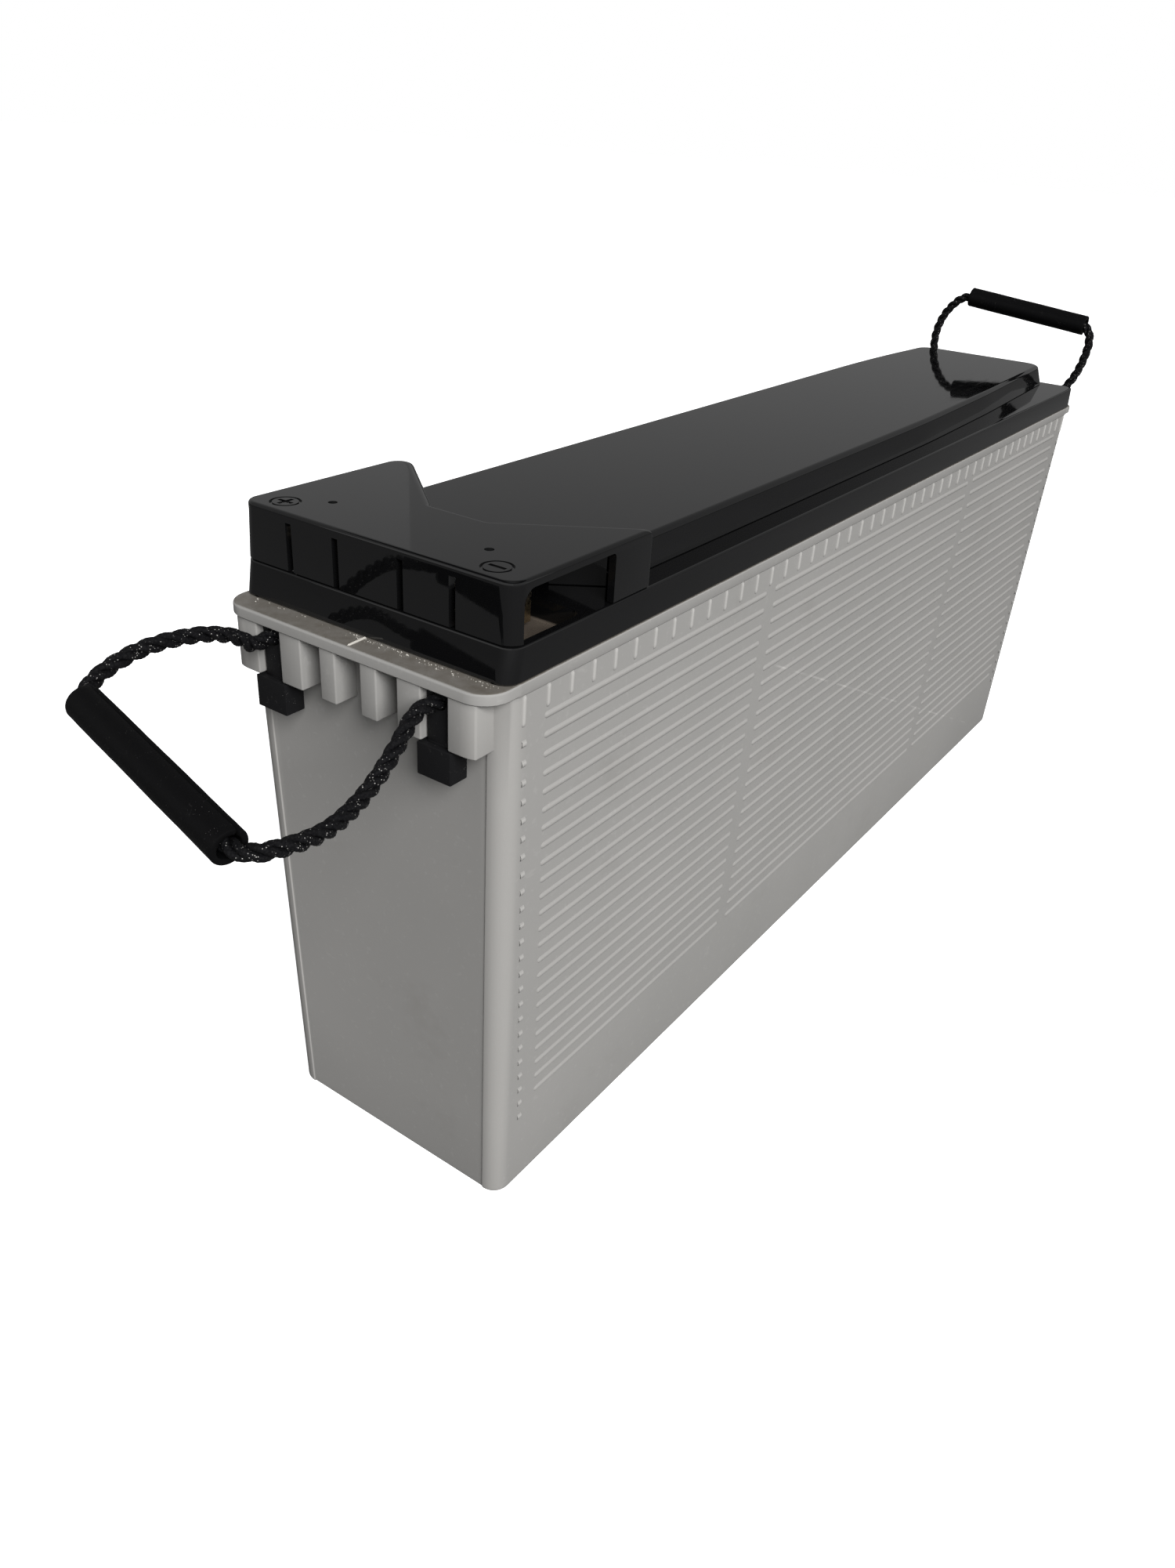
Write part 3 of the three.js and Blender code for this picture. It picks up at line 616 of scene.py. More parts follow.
def cell_space(column, row):
    def layer(z):
        wall = PITCH / 2 + PARTITION / 2
        x = (-wall + PARTITION, wall - PARTITION) if column == 0 else (wall, length_at(z) / 2 - WALL)
        if column < 0:
            x = (-x[1], -x[0])
        y = (PARTITION / 2, width_at(z) / 2 - WALL)
        return z, rectangle(x, (-y[1], -y[0]) if row < 0 else y, 3)
    return loft("cut", [layer(FLOOR), layer(FLANGE_TOP + 1)], *CUT, 4)


# Plates and webs under each flange: |y| from, |y| to, bottom.
SKIRTS = ((39.5, 49.5, 187.5), (20.0, 29.3, 187.5), (5.2, 11.8, 187.5))


def end_shelf(end):
    """The flange at one end (-1 near, 1 far) with the plates and webs under it."""
    inside = length_at(188) / 2 - 2
    x = sorted((end * LENGTH / 2, end * (inside - 12)))
    plan = rectangle(x, (-WIDTH / 2, WIDTH / 2), 9.5)
    layers = [(FLANGE_UNDER, inset(plan, 0.5)), (FLANGE_UNDER + 0.5, plan)]
    layers += fillet_layers(plan, FLANGE_TOP, 0.8)
    parts = [loft("flange", layers, "case_plastic", steps=10)]
    within = inset(plan, 0.6)
    for side in (-1, 1):
        for low, high, bottom in SKIRTS:
            y = sorted((side * low, side * high))
            x = sorted((end * 275.2, end * (inside - 1)))
            plate = block("plate", x, y, (bottom, FLANGE_UNDER + 1), "case_plastic")
            bounds = loft("cut", [(bottom - 1, within), (FLANGE_TOP - 1, within)], *CUT)
            boolean(plate, [bounds], "INTERSECT")
            bevel(plate, 0.55, 3)
            parts.append(plate)
    return parts


RIBS = {"rows": 24, "first": 40.0, "pitch": 6.7, "half": 1.05, "proud": 0.45}
TICKS = {"count": 46, "pitch": 11.5, "bottom": 196.7, "top": 204.6, "half": 0.95, "proud": 0.62}


def bump_profile(half, proud):
    """Half-width offsets and heights of a low rounded rib with small fillets at its foot."""
    rise = [(-1.25, -0.35), (-1.12, 0.04), (-0.9, 0.36), (-0.62, 0.74), (-0.3, 0.95)]
    shape = rise + [(0.0, 1.0)] + [(-a, h) for a, h in reversed(rise)]
    return [(a * half, h * proud) for a, h in shape]


def rib_mesh(start, end, z, side, across="z"):
    """One rib on a long side: it runs along X when across is z, and along Z when across is x."""
    sizes = RIBS if across == "z" else TICKS
    profile = bump_profile(sizes["half"], sizes["proud"])
    stations = [(0.0, 0.0), (0.25, 0.42), (0.7, 0.8), (1.3, 0.97), (1.9, 1.0)]
    along = [(start + a, s) for a, s in stations] + [(end - a, s) for a, s in reversed(stations)]
    verts, faces = [], []
    for place, share in along:
        for offset, height in profile:
            rise = height * share if height > 0 else height
            offset *= 0.35 + 0.65 * share
            x, level = (place, z + offset) if across == "z" else (z + offset, place)
            verts.append((x, side * (width_at(level) / 2 + rise), level))
    size = len(profile)
    for r in range(len(along) - 1):
        for i in range(size - 1):
            a = r * size + i
            faces.append((a, a + 1, a + 1 + size, a + size))
    faces.append(tuple(range(size)))
    faces.append(tuple(range(len(verts) - size, len(verts))))
    return verts, faces


def case_ribs():
    parts = []
    for side in (-1, 1):
        for row in range(RIBS["rows"]):
            z = RIBS["first"] + row * RIBS["pitch"]
            edge = 242.9 + 5.8 * row / (RIBS["rows"] - 1)
            for start, end in ((-edge, -111.0), (-104.2, 104.2), (111.0, edge)):
                parts.append(rib_mesh(start, end, z, side))
            dot_z = 33.2 + 6.752 * row
            dot_x = 251.1 + 7.2 * row / (RIBS["rows"] - 1)
            for end in (-1, 1):
                centre = end * dot_x
                parts.append(rib_mesh(centre - 0.9, centre + 0.9, dot_z, side))
        for i in range(TICKS["count"]):
            x = (i - (TICKS["count"] - 1) / 2) * TICKS["pitch"]
            low = TICKS["bottom"] - (2.5 if i in (0, TICKS["count"] - 1) else 0)
            parts.append(rib_mesh(low, TICKS["top"], x, side, "x"))
    verts, faces = [], []
    for part_verts, part_faces in parts:
        base = len(verts)
        verts += part_verts
        faces += [tuple(base + i for i in face) for face in part_faces]
    make_piece("case_ribs", verts, faces, "case_plastic", sharp=70)


def weld_flash():
    """The rough bead where the lid is fused to the flange, and the mould's parting line."""
    rng = random.Random(7)
    verts, faces = [], []
    for _ in range(190):
        y = rng.uniform(-52, 53)
        if y > 6 and rng.random() < 0.75:
            continue
        size = rng.uniform(0.12, 0.36)
        centre = Vector((-267.3 - rng.random() ** 2 * 2.2, y, FLANGE_TOP + 0.05))
        base = len(verts)
        for k in range(5):
            angle = 2 * math.pi * k / 5 + rng.random()
            out = Vector((math.cos(angle), 1.6 * math.sin(angle), 0)) * size
            verts.append(tuple(centre + out - Vector((0, 0, 0.1))))
        verts.append((centre.x, centre.y, centre.z + size * rng.uniform(0.5, 1.1)))
        faces += [(base + k, base + (k + 1) % 5, base + 5) for k in range(5)]
        faces.append(tuple(base + k for k in reversed(range(5))))
    bead = [(-266.8, 0.6), (-268.0, 0.55), (-271.5, 0.6), (-274.0, 0.55), (-275.3, 0.4)]
    base = len(verts)
    for x, half in bead:
        drop = 0.9 if x < -275 else 0
        for offset, rise in ((-half, -0.2), (-half * 0.4, 0.22), (half * 0.5, 0.42), (half, -0.2)):
            verts.append((x, -0.4 + offset + (x + 270) * 0.05, FLANGE_TOP + rise - drop))
    for r in range(len(bead) - 1):
        for i in range(3):
            a = base + r * 4 + i
            faces.append((a, a + 1, a + 5, a + 4))
    make_piece("case_weld_flash", verts, faces, "case_plastic", sharp=30)


def build_case():
    body = case_body()
    merge(body, end_shelf(-1) + end_shelf(1))
    smooth(body.data, 32)
    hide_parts("container")
    case_ribs()
    weld_flash()


# ---- lid and covers ------------------
LID = {"length": 530.0, "foot": 533.4, "bottom": 209.0, "ledge": 220.0, "plate": 3.0, "wall": 4.0}
COVER_TOP = 239.0
TOP = {"top": 231.0, "foot": 45.6, "half": 42.2}
TOP_END = {"foot": 262.5, "top": 256.0, "round": 8.0}
TAPER = {"right": ((60, 0), (150, 2.6)), "right_end": 8.3, "left": ((185, 0),), "left_end": 5.0}
# The curved edge between the two covers: a straight middle and two slanting sides.
SCOOP = {"mid": -226.5, "right": (-14.0, -195.0), "left": (8.4, -187.0)}
SCOOP_FILLET = 3.0
COVER_DRAFT = 1.3
LID_CORNER = 5.5
SEAM = 0.3
VENTS = [(column * 150 + 10, row * 22) for column in (-1, 0, 1) for row in (-1, 1)]
TERMINAL = (-245.0, 26.0)


def scoop_corners(side, half, distance):
    """One side's two scoop corners at a half width, moved towards -X by a distance."""
    start, end = SCOOP[side]
    slope = (end - SCOOP["mid"]) / (WIDTH / 2 - abs(start))
    stretch = math.hypot(1, slope)
    sign = math.copysign(1, start)
    middle = abs(start) + distance * (stretch - 1) / slope
    end_x = SCOOP["mid"] - distance * stretch + slope * (half - abs(start))
    return (SCOOP["mid"] - distance, sign * middle), (end_x, sign * half)


def cover_plan(lean, margin=0.0, scoop_margin=None):
    """Plan of the terminal cover: a full-width block with a scooped inner edge."""
    away = margin if scoop_margin is None else scoop_margin
    right_mid, right = scoop_corners("right", WIDTH / 2 - margin, away)
    left_mid, left = scoop_corners("left", WIDTH / 2 - lean - margin, away)
    end, radius = -LID["length"] / 2 + margin, LID_CORNER - margin
    return [(end, right[1], radius), (*right, 1.5), (*right_mid, 6), (*left_mid, 5),
            (*left, 4), (end, left[1], radius)]


def top_plan(half, margin, end):
    """Plan of the raised top cover, whose nose fits the scoop and whose far end tapers."""
    right_mid, right = scoop_corners("right", half, -0.5 - margin)
    left_mid, left = scoop_corners("left", half, -0.5 - margin)
    plan = [(*right_mid, 5.5), (*right, 3)]
    plan += [(x, drop - half, 1200) for x, drop in TAPER["right"]]
    plan += [(end, TAPER["right_end"] - half, TOP_END["round"]),
             (end, half - TAPER["left_end"], TOP_END["round"])]
    plan += [(x, half - drop, 1200) for x, drop in TAPER["left"]]
    return plan + [(*left, 3), (*left_mid, 4.5)]


def build_lid():
    plan = centred(LID["length"], WIDTH, LID_CORNER)
    foot = centred(LID["foot"], WIDTH, LID_CORNER)
    layers = [(LID["bottom"], inset(foot, 0.4)), (LID["bottom"] + 0.4, foot)]
    layers += fillet_layers(plan, LID["ledge"], 0.7)
    lid = loft("lid_body", layers, "gloss_black", steps=10)
    cuts = []
    bay = rectangle((-LID["length"] / 2 + 3, SCOOP["mid"] - 2.2), (-WIDTH / 2 + 3, WIDTH / 2 - 3), 4)
    cuts.append(loft("cut", [(BAY_FLOOR, inset(bay, 0.4)), (BAY_FLOOR + 0.5, bay), (LID["ledge"] + 1, bay)],
                     *CUT, 6))
    wall = PITCH / 2 - PARTITION / 2 - 1
    spans = [(SCOOP["mid"] + 2, -wall - 4), (-wall, wall), (wall + 4, LID["length"] / 2 - LID["wall"])]
    for span in spans:
        for side in (-1, 1):
            y = sorted((side * 2.0, side * (WIDTH / 2 - LID["wall"])))
            z = (LID["bottom"] - 1, LID["ledge"] - LID["plate"])
            cuts.append(block("cut", span, y, z, *CUT))
    for side in (-1, 1):
        cuts.append(rod("cut", (TERMINAL[0], side * TERMINAL[1]), 12.3, (LID["bottom"] - 1, LID["ledge"]),
                        *CUT, 48))
    boolean(lid, cuts)
    nozzles = [rod("nozzle", at, 4.0, (LID["ledge"] - 1, 225.0), *CUT) for at in VENTS]
    boolean(lid, nozzles, "UNION")
    boolean(lid, [rod("cut", at, 2.0, (LID["bottom"] - 1, 226.0), *CUT) for at in VENTS])
    smooth(lid.data, 32)
    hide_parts("lid")


def build_top_cover():
    foot, top, half = LID["ledge"] + SEAM, TOP["top"], TOP["half"]
    base = top_plan(TOP["foot"], 0, TOP_END["foot"])
    layers = [(foot, base), (foot + 0.5, top_plan(TOP["foot"] - 0.1, 0.05, TOP_END["foot"] - 0.2))]
    for drop, grow, nose in ((2.0, 1.6, 0.2), (1.5, 1.5, 0.25), (1.0, 1.25, 0.35), (0.5, 0.85, 0.6),
                             (0.2, 0.45, 0.95), (0.05, 0.1, 1.3), (0.0, -0.2, 1.6)):
        layers.append((top - drop, top_plan(half + grow, nose, TOP_END["top"] + 1.4 * grow)))
    layers.append((top, top_plan(half - 0.6, 2.0, TOP_END["top"] - 0.8)))
    cover = loft("top_cover_shell", layers, "gloss_black", steps=10)
    roof = inset(top_plan(half, 0.8, TOP_END["top"]), 2.5)
    hollow = loft("cut", [(foot - 1, inset(base, 2.5)), (top - 2.5, roof)], *CUT, 6)
    boolean(cover, [hollow])
    smooth(cover.data, 32)
    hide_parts("top_cover")


SLOTS = (-32.8, -13.0, 13.0, 32.8)
WINDOW = {"x": (-260.5, -217.0), "top": 236.2}


def window_cut():
    """A prism through both long sides with rounded upper corners."""
    corners = [(WINDOW["x"][0], LID["ledge"] - 1, 0.3), (WINDOW["x"][1], LID["ledge"] - 1, 0.3),
               (WINDOW["x"][1], WINDOW["top"], 1.5), (WINDOW["x"][0], WINDOW["top"], 4.5)]
    outline = rounded(corners, 8)
    size = len(outline)
    verts = [(p.x, -58, p.y) for p in outline] + [(p.x, 58, p.y) for p in outline]
    faces = [tuple(range(size)), tuple(reversed(range(size, 2 * size)))]
    faces += [(i, i + size, (i + 1) % size + size, (i + 1) % size) for i in range(size)]
    return make_piece("cut", verts, faces, *CUT)


def build_terminal_cover():
    foot = LID["ledge"] + SEAM
    layers = [(foot, cover_plan(0, 0.25)), (foot + 0.3, cover_plan(0))]
    steps = 7
    for k in range(steps + 1):
        angle = math.pi / 2 * k / steps
        out, drop = 1 - math.cos(angle), 1 - math.sin(angle)
        edge = max(0.0, 1 - drop * SCOOP_FILLET / 1.1)
        margin = 1.1 * (1 - math.sqrt(1 - edge * edge))
        layers.append((COVER_TOP - SCOOP_FILLET * drop, cover_plan(COVER_DRAFT, margin, SCOOP_FILLET * out)))
    layers.append((COVER_TOP, cover_plan(COVER_DRAFT, 1.5, SCOOP_FILLET + 0.4)))
    cover = loft("terminal_cover_shell", layers, "gloss_black", "terminal_cover", 10)
    cuts = [loft("cut", [(foot - 1, inset(cover_plan(0), 2.5)),
                         (COVER_TOP - 2.5, inset(cover_plan(COVER_DRAFT), 2.5))], *CUT, 8)]
    for y in SLOTS:
        cuts.append(block("cut", (-267, -261), (y - 1.2, y + 1.2), (foot - 1, 235.8), *CUT))
    cuts.append(window_cut())
    boolean(cover, cuts)
    boolean(cover, polarity_cuts())
    smooth(cover.data, 32)
    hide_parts("terminal_cover")


def polarity_cuts():
    """A plus and a minus sunk in the top beside their terminals, each with a pin mark."""
    depth = (COVER_TOP - 0.5, COVER_TOP + 1)
    cuts = []
    for side in (-1, 1):
        x, y = -257.0, side * 42.3
        cuts.append(ring_cut((x, y), 5.0, 4.1, depth))
        if side > 0:
            cuts.append(block("cut", (x - 3.0, x + 3.0), (y - 0.7, y + 0.7), depth, *CUT))
        cuts.append(block("cut", (x - 0.7, x + 0.7), (y - 3.0, y + 3.0), depth, *CUT))
        cuts.append(rod("cut", (-247.5, side * 31.5), 1.5, depth, *CUT, 20))
    return cuts


def ring_cut(place, outer, inner, z, sides=40):
    circle = [(math.cos(2 * math.pi * i / sides), math.sin(2 * math.pi * i / sides)) for i in range(sides)]
    verts = []
    for radius, level in ((inner, z[0]), (outer, z[0]), (outer, z[1]), (inner, z[1])):
        verts += [(place[0] + radius * c, place[1] + radius * s, level) for c, s in circle]
    faces = []
    for r in range(4):
        for i in range(sides):
            a, b = r * sides + i, r * sides + (i + 1) % sides
            step = sides if r < 3 else -3 * sides
            faces.append((a, b, b + step, a + step))
    return make_piece("cut", verts, faces, *CUT)


# ---- rope handles --------------------
ROPE = {"lay": 15.6, "offset": 1.36, "strand": 1.19, "yarns": 7}
TAIL_START = 268.0
EYE = (34.4, 201.0)
NEAR_ROUTE = [
    (-281, 34.4, 201), (-283.6, 34.5, 203), (-287.2, 34.8, 205.4), (-291.4, 35.3, 207.2),
    (-297, 36.2, 208.7), (-304, 37.5, 209.4), (-311, 38.9, 209.4), (-317.2, 40.1, 208.6),
    (-323.2, 40.9, 207.1), (-329, 40.9, 205.2), (-333.8, 39.5, 203.6), (-337.2, 36.6, 202.3),
    (-338.7, 32.8, 201.3), (-341.1, 16.4, 198.4), (-343.6, -0.6, 195.3), (-346.1, -17.6, 192.3),
    (-348.4, -32.6, 189.7), (-348.3, -37.3, 189.1), (-345.8, -41.3, 189), (-341.4, -43.4, 188.8),
    (-335.2, -44.4, 188.1), (-328.3, -44.1, 187.1), (-320.8, -42.8, 186.6), (-314.2, -41.3, 187),
    (-307.6, -39.8, 188.2), (-301.2, -38.4, 190.4), (-295.3, -37.2, 193.3), (-290, -36.2, 196.5),
    (-285.3, -35, 199.2), (-281, -34.4, 201),
]
FAR_ROUTE = [
    (281, 34.4, 201), (283.6, 34.6, 202.4), (286.2, 35.4, 205.8), (288.4, 37.6, 211.4),
    (289.8, 40.9, 218.6), (290.1, 43.4, 227.4), (289.6, 43.1, 237), (288.9, 40, 246.2),
    (288.3, 35.2, 253), (288.1, 30.6, 257), (288, 25.4, 258.7), (288, 18, 258.2),
    (288, 4, 256.7), (288, -12, 255), (288, -28, 253.3), (288, -42.6, 251.8),
    (288, -47.6, 250.6), (288.2, -50.6, 246.9), (288.7, -51.6, 241.5), (289.3, -51.1, 235.5),
    (289.8, -49.6, 228), (289.9, -46.9, 220.4), (288.6, -42.8, 213), (286.4, -38.2, 206.4),
    (283.7, -35.2, 202.6), (281, -34.4, 201),
]
# Points of the grip farther out than its skin radius follow the outer wall.
GRIP = {"half": 36.2, "outer": 5.4, "skin": 4.4, "inner": 3.5, "gap": 0.22}
GRIP_ENDS = {"near": ((-338.3, 36.4, 201.9), (-348.9, -35.6, 189.1)),
             "far": ((288, 24.6, 258.85), (288, -47.2, 251.35))}


def spline(points, spacing):
    """Evenly spaced points on a centripetal Catmull-Rom curve through the given ones."""
    ends = [points[0] * 2 - points[1]] + points + [points[-1] * 2 - points[-2]]
    fine = []
    for p0, p1, p2, p3 in zip(ends, ends[1:], ends[2:], ends[3:]):
        t = [0.0]
        for a, b in ((p0, p1), (p1, p2), (p2, p3)):
            t.append(t[-1] + max((b - a).length, 1e-6) ** 0.5)
        for k in range(24):
            u = t[1] + (t[2] - t[1]) * k / 24
            a1 = p0.lerp(p1, (u - t[0]) / (t[1] - t[0]))
            a2 = p1.lerp(p2, (u - t[1]) / (t[2] - t[1]))
            a3 = p2.lerp(p3, (u - t[2]) / (t[3] - t[2]))
            b1 = a1.lerp(a2, (u - t[0]) / (t[2] - t[0]))
            b2 = a2.lerp(a3, (u - t[1]) / (t[3] - t[1]))
            fine.append(b1.lerp(b2, (u - t[1]) / (t[2] - t[1])))
    fine.append(points[-1])
    return resample(fine, spacing)


def resample(fine, spacing):
    lengths = [0.0]
    for a, b in zip(fine, fine[1:]):
        lengths.append(lengths[-1] + (b - a).length)
    count = max(2, round(lengths[-1] / spacing))
    even, j = [], 0
    for k in range(count + 1):
        target = lengths[-1] * k / count
        while j < len(fine) - 2 and lengths[j + 1] < target:
            j += 1
        step = lengths[j + 1] - lengths[j]
        even.append(fine[j].lerp(fine[j + 1], (target - lengths[j]) / step if step else 0))
    return even, lengths[-1]


def frames(path):
    """Tangent and two crosswise directions at each point, carried along without twist."""
    last = len(path) - 1
    tangents = [(path[min(i + 1, last)] - path[max(i - 1, 0)]).normalized() for i in range(last + 1)]
    side = tangents[0].orthogonal().normalized()
    made = []
    for tangent in tangents:
        side = (side - tangent * side.dot(tangent)).normalized()
        made.append((tangent, side, tangent.cross(side)))
    return made


def rope_mesh(path, spacing):
    """Three laid strands along a path, each of them a bundle of yarns laid the other way."""
    sides = 28
    verts, faces = [], []
    axes = frames(path)
    for strand in range(3):
        centres = []
        for i, (point, (_, side, cross)) in enumerate(zip(path, axes)):
            angle = 2 * math.pi * (i * spacing / ROPE["lay"] + strand / 3)
            centres.append(point + (side * math.cos(angle) + cross * math.sin(angle)) * ROPE["offset"])
        base = len(verts)
        for i, (centre, (_, side, cross)) in enumerate(zip(centres, frames(centres))):
            swirl = -2 * math.pi * i * spacing / 9.0
            for k in range(sides):
                angle = 2 * math.pi * k / sides
                lobes = 1 + 0.055 * math.cos(ROPE["yarns"] * (angle + swirl))
                plait = 1 + 0.02 * math.cos(2 * math.pi * i * spacing / 1.7 + 3 * angle)
                reach = ROPE["strand"] * lobes * plait
                verts.append(centre + (side * math.cos(angle) + cross * math.sin(angle)) * reach)
        count = len(path)
        for i in range(count - 1):
            for k in range(sides):
                a, b = base + i * sides + k, base + i * sides + (k + 1) % sides
                faces.append((a, b, b + sides, a + sides))
        faces.append(tuple(base + k for k in reversed(range(sides))))
        faces.append(tuple(base + (count - 1) * sides + k for k in range(sides)))
    return verts, faces


def build_rope(end, route, side):
    """One rope from anchor to anchor, tails included, as a single laid mesh."""
    y, z = EYE
    lead = [Vector((side * TAIL_START, y, z)), Vector((side * 274.5, y, z))]
    tail = [Vector((side * 274.5, -y, z)), Vector((side * TAIL_START, -y, z))]
    points = lead + [Vector(p) for p in route] + tail
    spacing = 0.55
    path, length = spline(points, spacing)
    rope = make_piece(f"{end}_rope_laid", *rope_mesh(path, length / (len(path) - 1)), "rope", None, 60)
    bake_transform(rope)
    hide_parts(f"{end}_rope", f"{end}_rope_tail_left", f"{end}_rope_tail_right")


def build_grip(end, slit_direction):
    """A split tube pushed over the rope, a little flared and rough at its cut ends."""
    a, b = (Vector(p) for p in GRIP_ENDS[end])
    axis = (b - a).normalized()
    side = Vector(slit_direction)
    side = (side - axis * side.dot(axis)).normalized()
    cross = axis.cross(side)
    middle = (a + b) / 2
    half, outer, inner, gap = GRIP["half"], GRIP["outer"], GRIP["inner"], GRIP["gap"]
    steps = 40
    turn = 2 * math.pi - 2 * gap
    section = [(gap + turn * k / steps, outer) for k in range(steps + 1)]
    slit = [(k / 6, 0.10 * math.sin(math.pi * k / 6)) for k in range(7)]
    section += [(2 * math.pi - gap + bow, outer + (inner - outer) * share) for share, bow in slit]
    section += [(2 * math.pi - gap - turn * k / steps, inner) for k in range(steps + 1)]
    section += [(gap - bow, inner + (outer - inner) * share) for share, bow in slit]
    size = len(section)
    rings = [(-half, -0.35), (-half + 0.12, -0.12), (-half + 0.45, 0.0)]
    rings += [(-half + 2 + (2 * half - 4) * k / 24, 0.0) for k in range(25)]
    rings += [(half - 0.45, 0.0), (half - 0.12, -0.12), (half, -0.35)]
    verts, faces = [], []
    for along, grow in rings:
        wave = 0.06 * math.sin(along * 0.21) + 0.03 * math.sin(along * 0.83 + 1)
        for angle, radius in section:
            outside = radius > GRIP["skin"]
            reach = radius + (grow + wave * 0.5 if outside else -grow)
            verts.append(middle + axis * along + (side * math.cos(angle) + cross * math.sin(angle)) * reach)
    for r in range(len(rings) - 1):
        for i in range(size):
            p, q = r * size + i, r * size + (i + 1) % size
            faces.append((p, q, q + size, p + size))
    for base in (0, (len(rings) - 1) * size):
        outer_ring = [base + i for i in range(steps + 1)]
        inner_ring = [base + steps + 8 + i for i in range(steps + 1)]
        for i in range(steps):
            k = steps - i
            faces.append((outer_ring[i], outer_ring[i + 1], inner_ring[k - 1], inner_ring[k]))
        faces.append(tuple(base + steps + k for k in range(9)))
        faces.append((*(base + 2 * steps + 8 + k for k in range(8)), base))
    piece = make_piece(f"{end}_grip_tube", verts, faces, "grip_plastic", f"{end}_grip", 50)
    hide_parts(f"{end}_grip")


# ---- pieces whose CAD shape only needs finer edges 
def refine(node, name, slot, body, width, segments=2, angle=40.0):
    """A copy of a CAD node with clean faces and rounded edges, shown in its place."""
    mesh = frame["nodes"][node].data.copy()
    piece = finish_piece(name, mesh, slot, body, 35.0)
    tidy(piece)
    bevel(piece, width, segments, angle)
    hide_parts(node)


def build_hardware():
    for sign in ("positive", "negative"):
        refine(f"terminal_{sign}", f"terminal_block_{sign}", "terminal_brass", ROOT, 0.7, 3)
        refine(f"terminal_seal_{sign}", f"terminal_seal_ring_{sign}", f"seal_{sign}", ROOT, 0.4)
        refine(f"flat_washer_{sign}", f"washer_flat_{sign}", "fastener_steel", ROOT, 0.18)
        refine(f"spring_washer_{sign}", f"washer_spring_{sign}", "fastener_steel", ROOT, 0.15)
        refine(f"terminal_bolt_{sign}", f"bolt_hex_{sign}", "fastener_steel", ROOT, 0.4, 3, 50)
    for end in ("near", "far"):
        for side in ("left", "right"):
            refine(f"{end}_anchor_{side}", f"{end}_rope_toggle_{side}", "anchor_plastic", ROOT, 0.35, 3)
    for i in range(1, 7):
        refine(f"vent_valve_{i}", f"vent_cap_{i}", "valve_rubber", f"vent_valve_{i}", 0.25, 2)


def paint_inner_nodes():
    for row in frame["record"]["subparts"]:
        node = frame["nodes"][row["node"]]
        if not node.hide_render:
            node.data.materials.clear()
            node.data.materials.append(MATERIALS[row["material_slot"]])


# ---- studio --------------------------
FILL = 0.36
FLOOR_GLOW = 0.78
KEY = {"power": 672, "place": (-2.67, -4.27, 3.4), "aim": (0, 0, 0.1), "size": 3.0}
CARD_DISTANCE = 6.0
CARD_FOOT = 0.22
# Plain white cards that the gloss mirrors: azimuth in the middle, brightness. Each spans 90 degrees.
CARDS = {"panel_far_end": (0, 0.24), "panel_left": (90, 0.3), "panel_near_end": (180, 0.7),
         "panel_right": (270, 0.5)}
TOP_CARD = {"half": 1.2, "height": 4, "brightness": 0.25}


def emitter(name, strength):
    """A plain white glow."""
    material = bpy.data.materials.new(name)
    material.use_nodes = True
    tree = material.node_tree
    tree.nodes.clear()
    glow = tree.nodes.new("ShaderNodeEmission")
    glow.inputs["Strength"].default_value = strength
    made = tree.nodes.new("ShaderNodeOutputMaterial")
    tree.links.new(glow.outputs["Emission"], made.inputs["Surface"])
    return material


def stage_sheet(name, verts, faces, material):
    """A studio surface in metres, which isn't part of the battery."""
    mesh = bpy.data.meshes.new(name)
    mesh.from_pydata(verts, [], faces)
    mesh.materials.append(material)
    made = bpy.data.objects.new(name, mesh)
    bpy.context.scene.collection.objects.link(made)
    return made


def reflected_only(name, verts, faces, brightness):
    """A glowing card that shows in the battery's gloss and nowhere else."""
    made = stage_sheet(name, verts, faces, emitter(name, brightness))
    made.visible_camera = False
    made.visible_diffuse = False
    made.visible_shadow = False
    made.visible_transmission = False


def side_card(name, middle, brightness):
    """A curved card round a quarter of the battery, up to 45 degrees above its top."""
    steps = 18
    verts, faces = [], []
    for k in range(steps + 1):
        angle = math.radians(middle - 45 + 90 * k / steps)
        x, y = CARD_DISTANCE * math.cos(angle), CARD_DISTANCE * math.sin(angle)
        verts += [(x, y, CARD_FOOT), (x, y, CARD_FOOT + CARD_DISTANCE)]
    for k in range(steps):
        faces.append((2 * k, 2 * k + 2, 2 * k + 3, 2 * k + 1))
    reflected_only(name, verts, faces, brightness)


def square(half, height):
    return [(-half, -half, height), (half, -half, height), (half, half, height), (-half, half, height)]


def add_cards():
    """One card to each side and one overhead."""
    for name, (middle, brightness) in CARDS.items():
        side_card(name, middle, brightness)
    top = square(TOP_CARD["half"], TOP_CARD["height"])
    reflected_only("panel_top", top, [(0, 1, 2, 3)], TOP_CARD["brightness"])


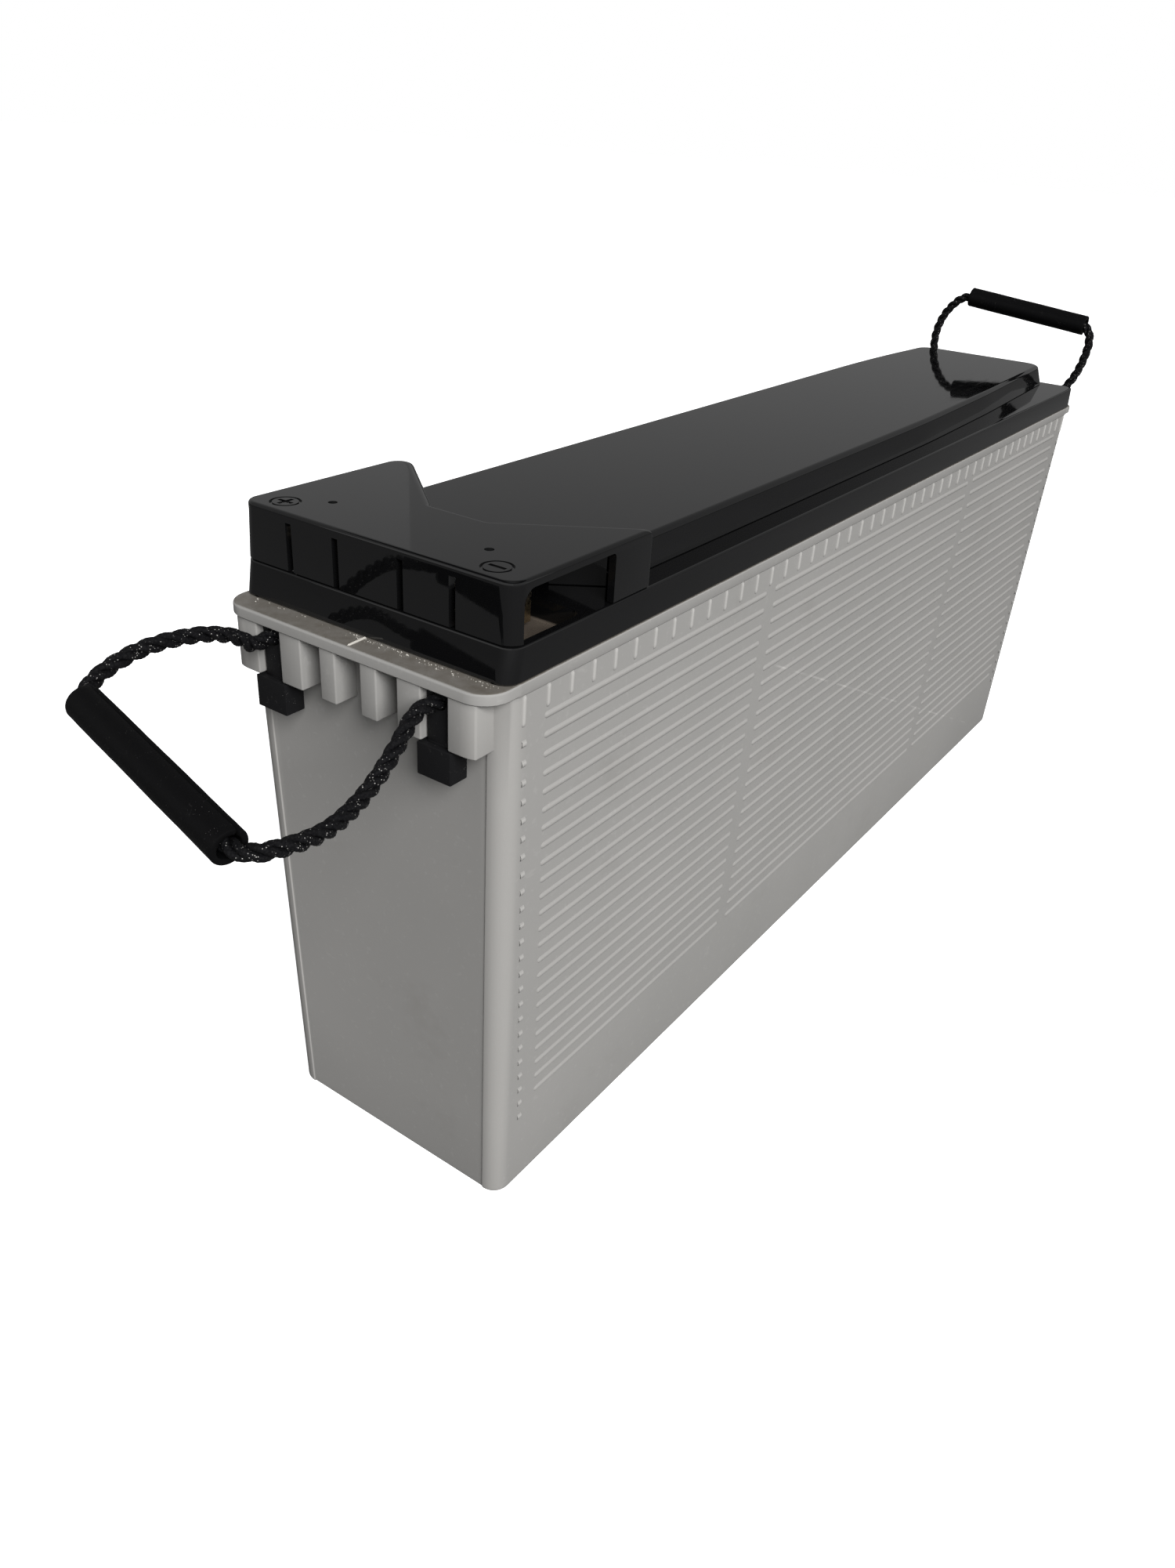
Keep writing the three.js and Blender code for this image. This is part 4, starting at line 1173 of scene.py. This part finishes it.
def add_key():
    """The one large, soft light, kept out of the gloss."""
    light = bpy.data.lights.new("key", "AREA")
    light.shape = "RECTANGLE"
    light.size = light.size_y = KEY["size"]
    light.energy = KEY["power"]
    made = bpy.data.objects.new("key", light)
    made.location = KEY["place"]
    away = Vector(KEY["aim"]) - Vector(KEY["place"])
    made.rotation_euler = away.to_track_quat("-Z", "Y").to_euler()
    made.visible_glossy = False
    bpy.context.scene.collection.objects.link(made)


def floor_sheet(name, height, material):
    return stage_sheet(name, square(9, height), [(0, 1, 2, 3)], material)


def add_floor():
    """A pale sheet for the camera, over a greyer one that lights the battery and is mirrored."""
    pale = floor_paint("studio_floor", 0.86, 0.88, 0.7, 0.2)
    pale.set(Emission_Color=(1, 1, 1, 1), Emission_Strength=FLOOR_GLOW)
    seen = floor_sheet("studio_floor", -0.00005, pale.material)
    seen.visible_diffuse = False
    seen.visible_glossy = False
    seen.visible_shadow = False
    grey = floor_paint("studio_bounce", 0.12, 0.135, 0.9, 0.0)
    bounce = floor_sheet("studio_bounce", -0.0002, grey.material)
    bounce.visible_camera = False


def add_world():
    world = bpy.data.worlds.new("studio")
    bpy.context.scene.world = world
    world.use_nodes = True
    tree = world.node_tree
    rays = tree.nodes.new("ShaderNodeLightPath")
    level = tree.nodes.new("ShaderNodeMapRange")
    level.inputs["To Min"].default_value = FILL
    level.inputs["To Max"].default_value = 1.0
    tree.links.new(rays.outputs["Is Camera Ray"], level.inputs["Value"])
    back = tree.nodes["Background"]
    back.inputs["Color"].default_value = (1, 1, 1, 1)
    tree.links.new(level.outputs["Result"], back.inputs["Strength"])
    world.cycles_visibility.glossy = False


def add_studio():
    add_floor()
    add_world()
    bpy.context.scene.view_settings.view_transform = "Standard"
    add_key()
    add_cards()


add_camera()
build_rope("near", NEAR_ROUTE, -1)
build_rope("far", FAR_ROUTE, 1)
build_grip("near", (0.6, 0, 1))
build_grip("far", (0.4, 0, -1))
build_case()
build_lid()
build_top_cover()
build_terminal_cover()
build_hardware()
paint_inner_nodes()
add_studio()

bpy.context.view_layer.update()
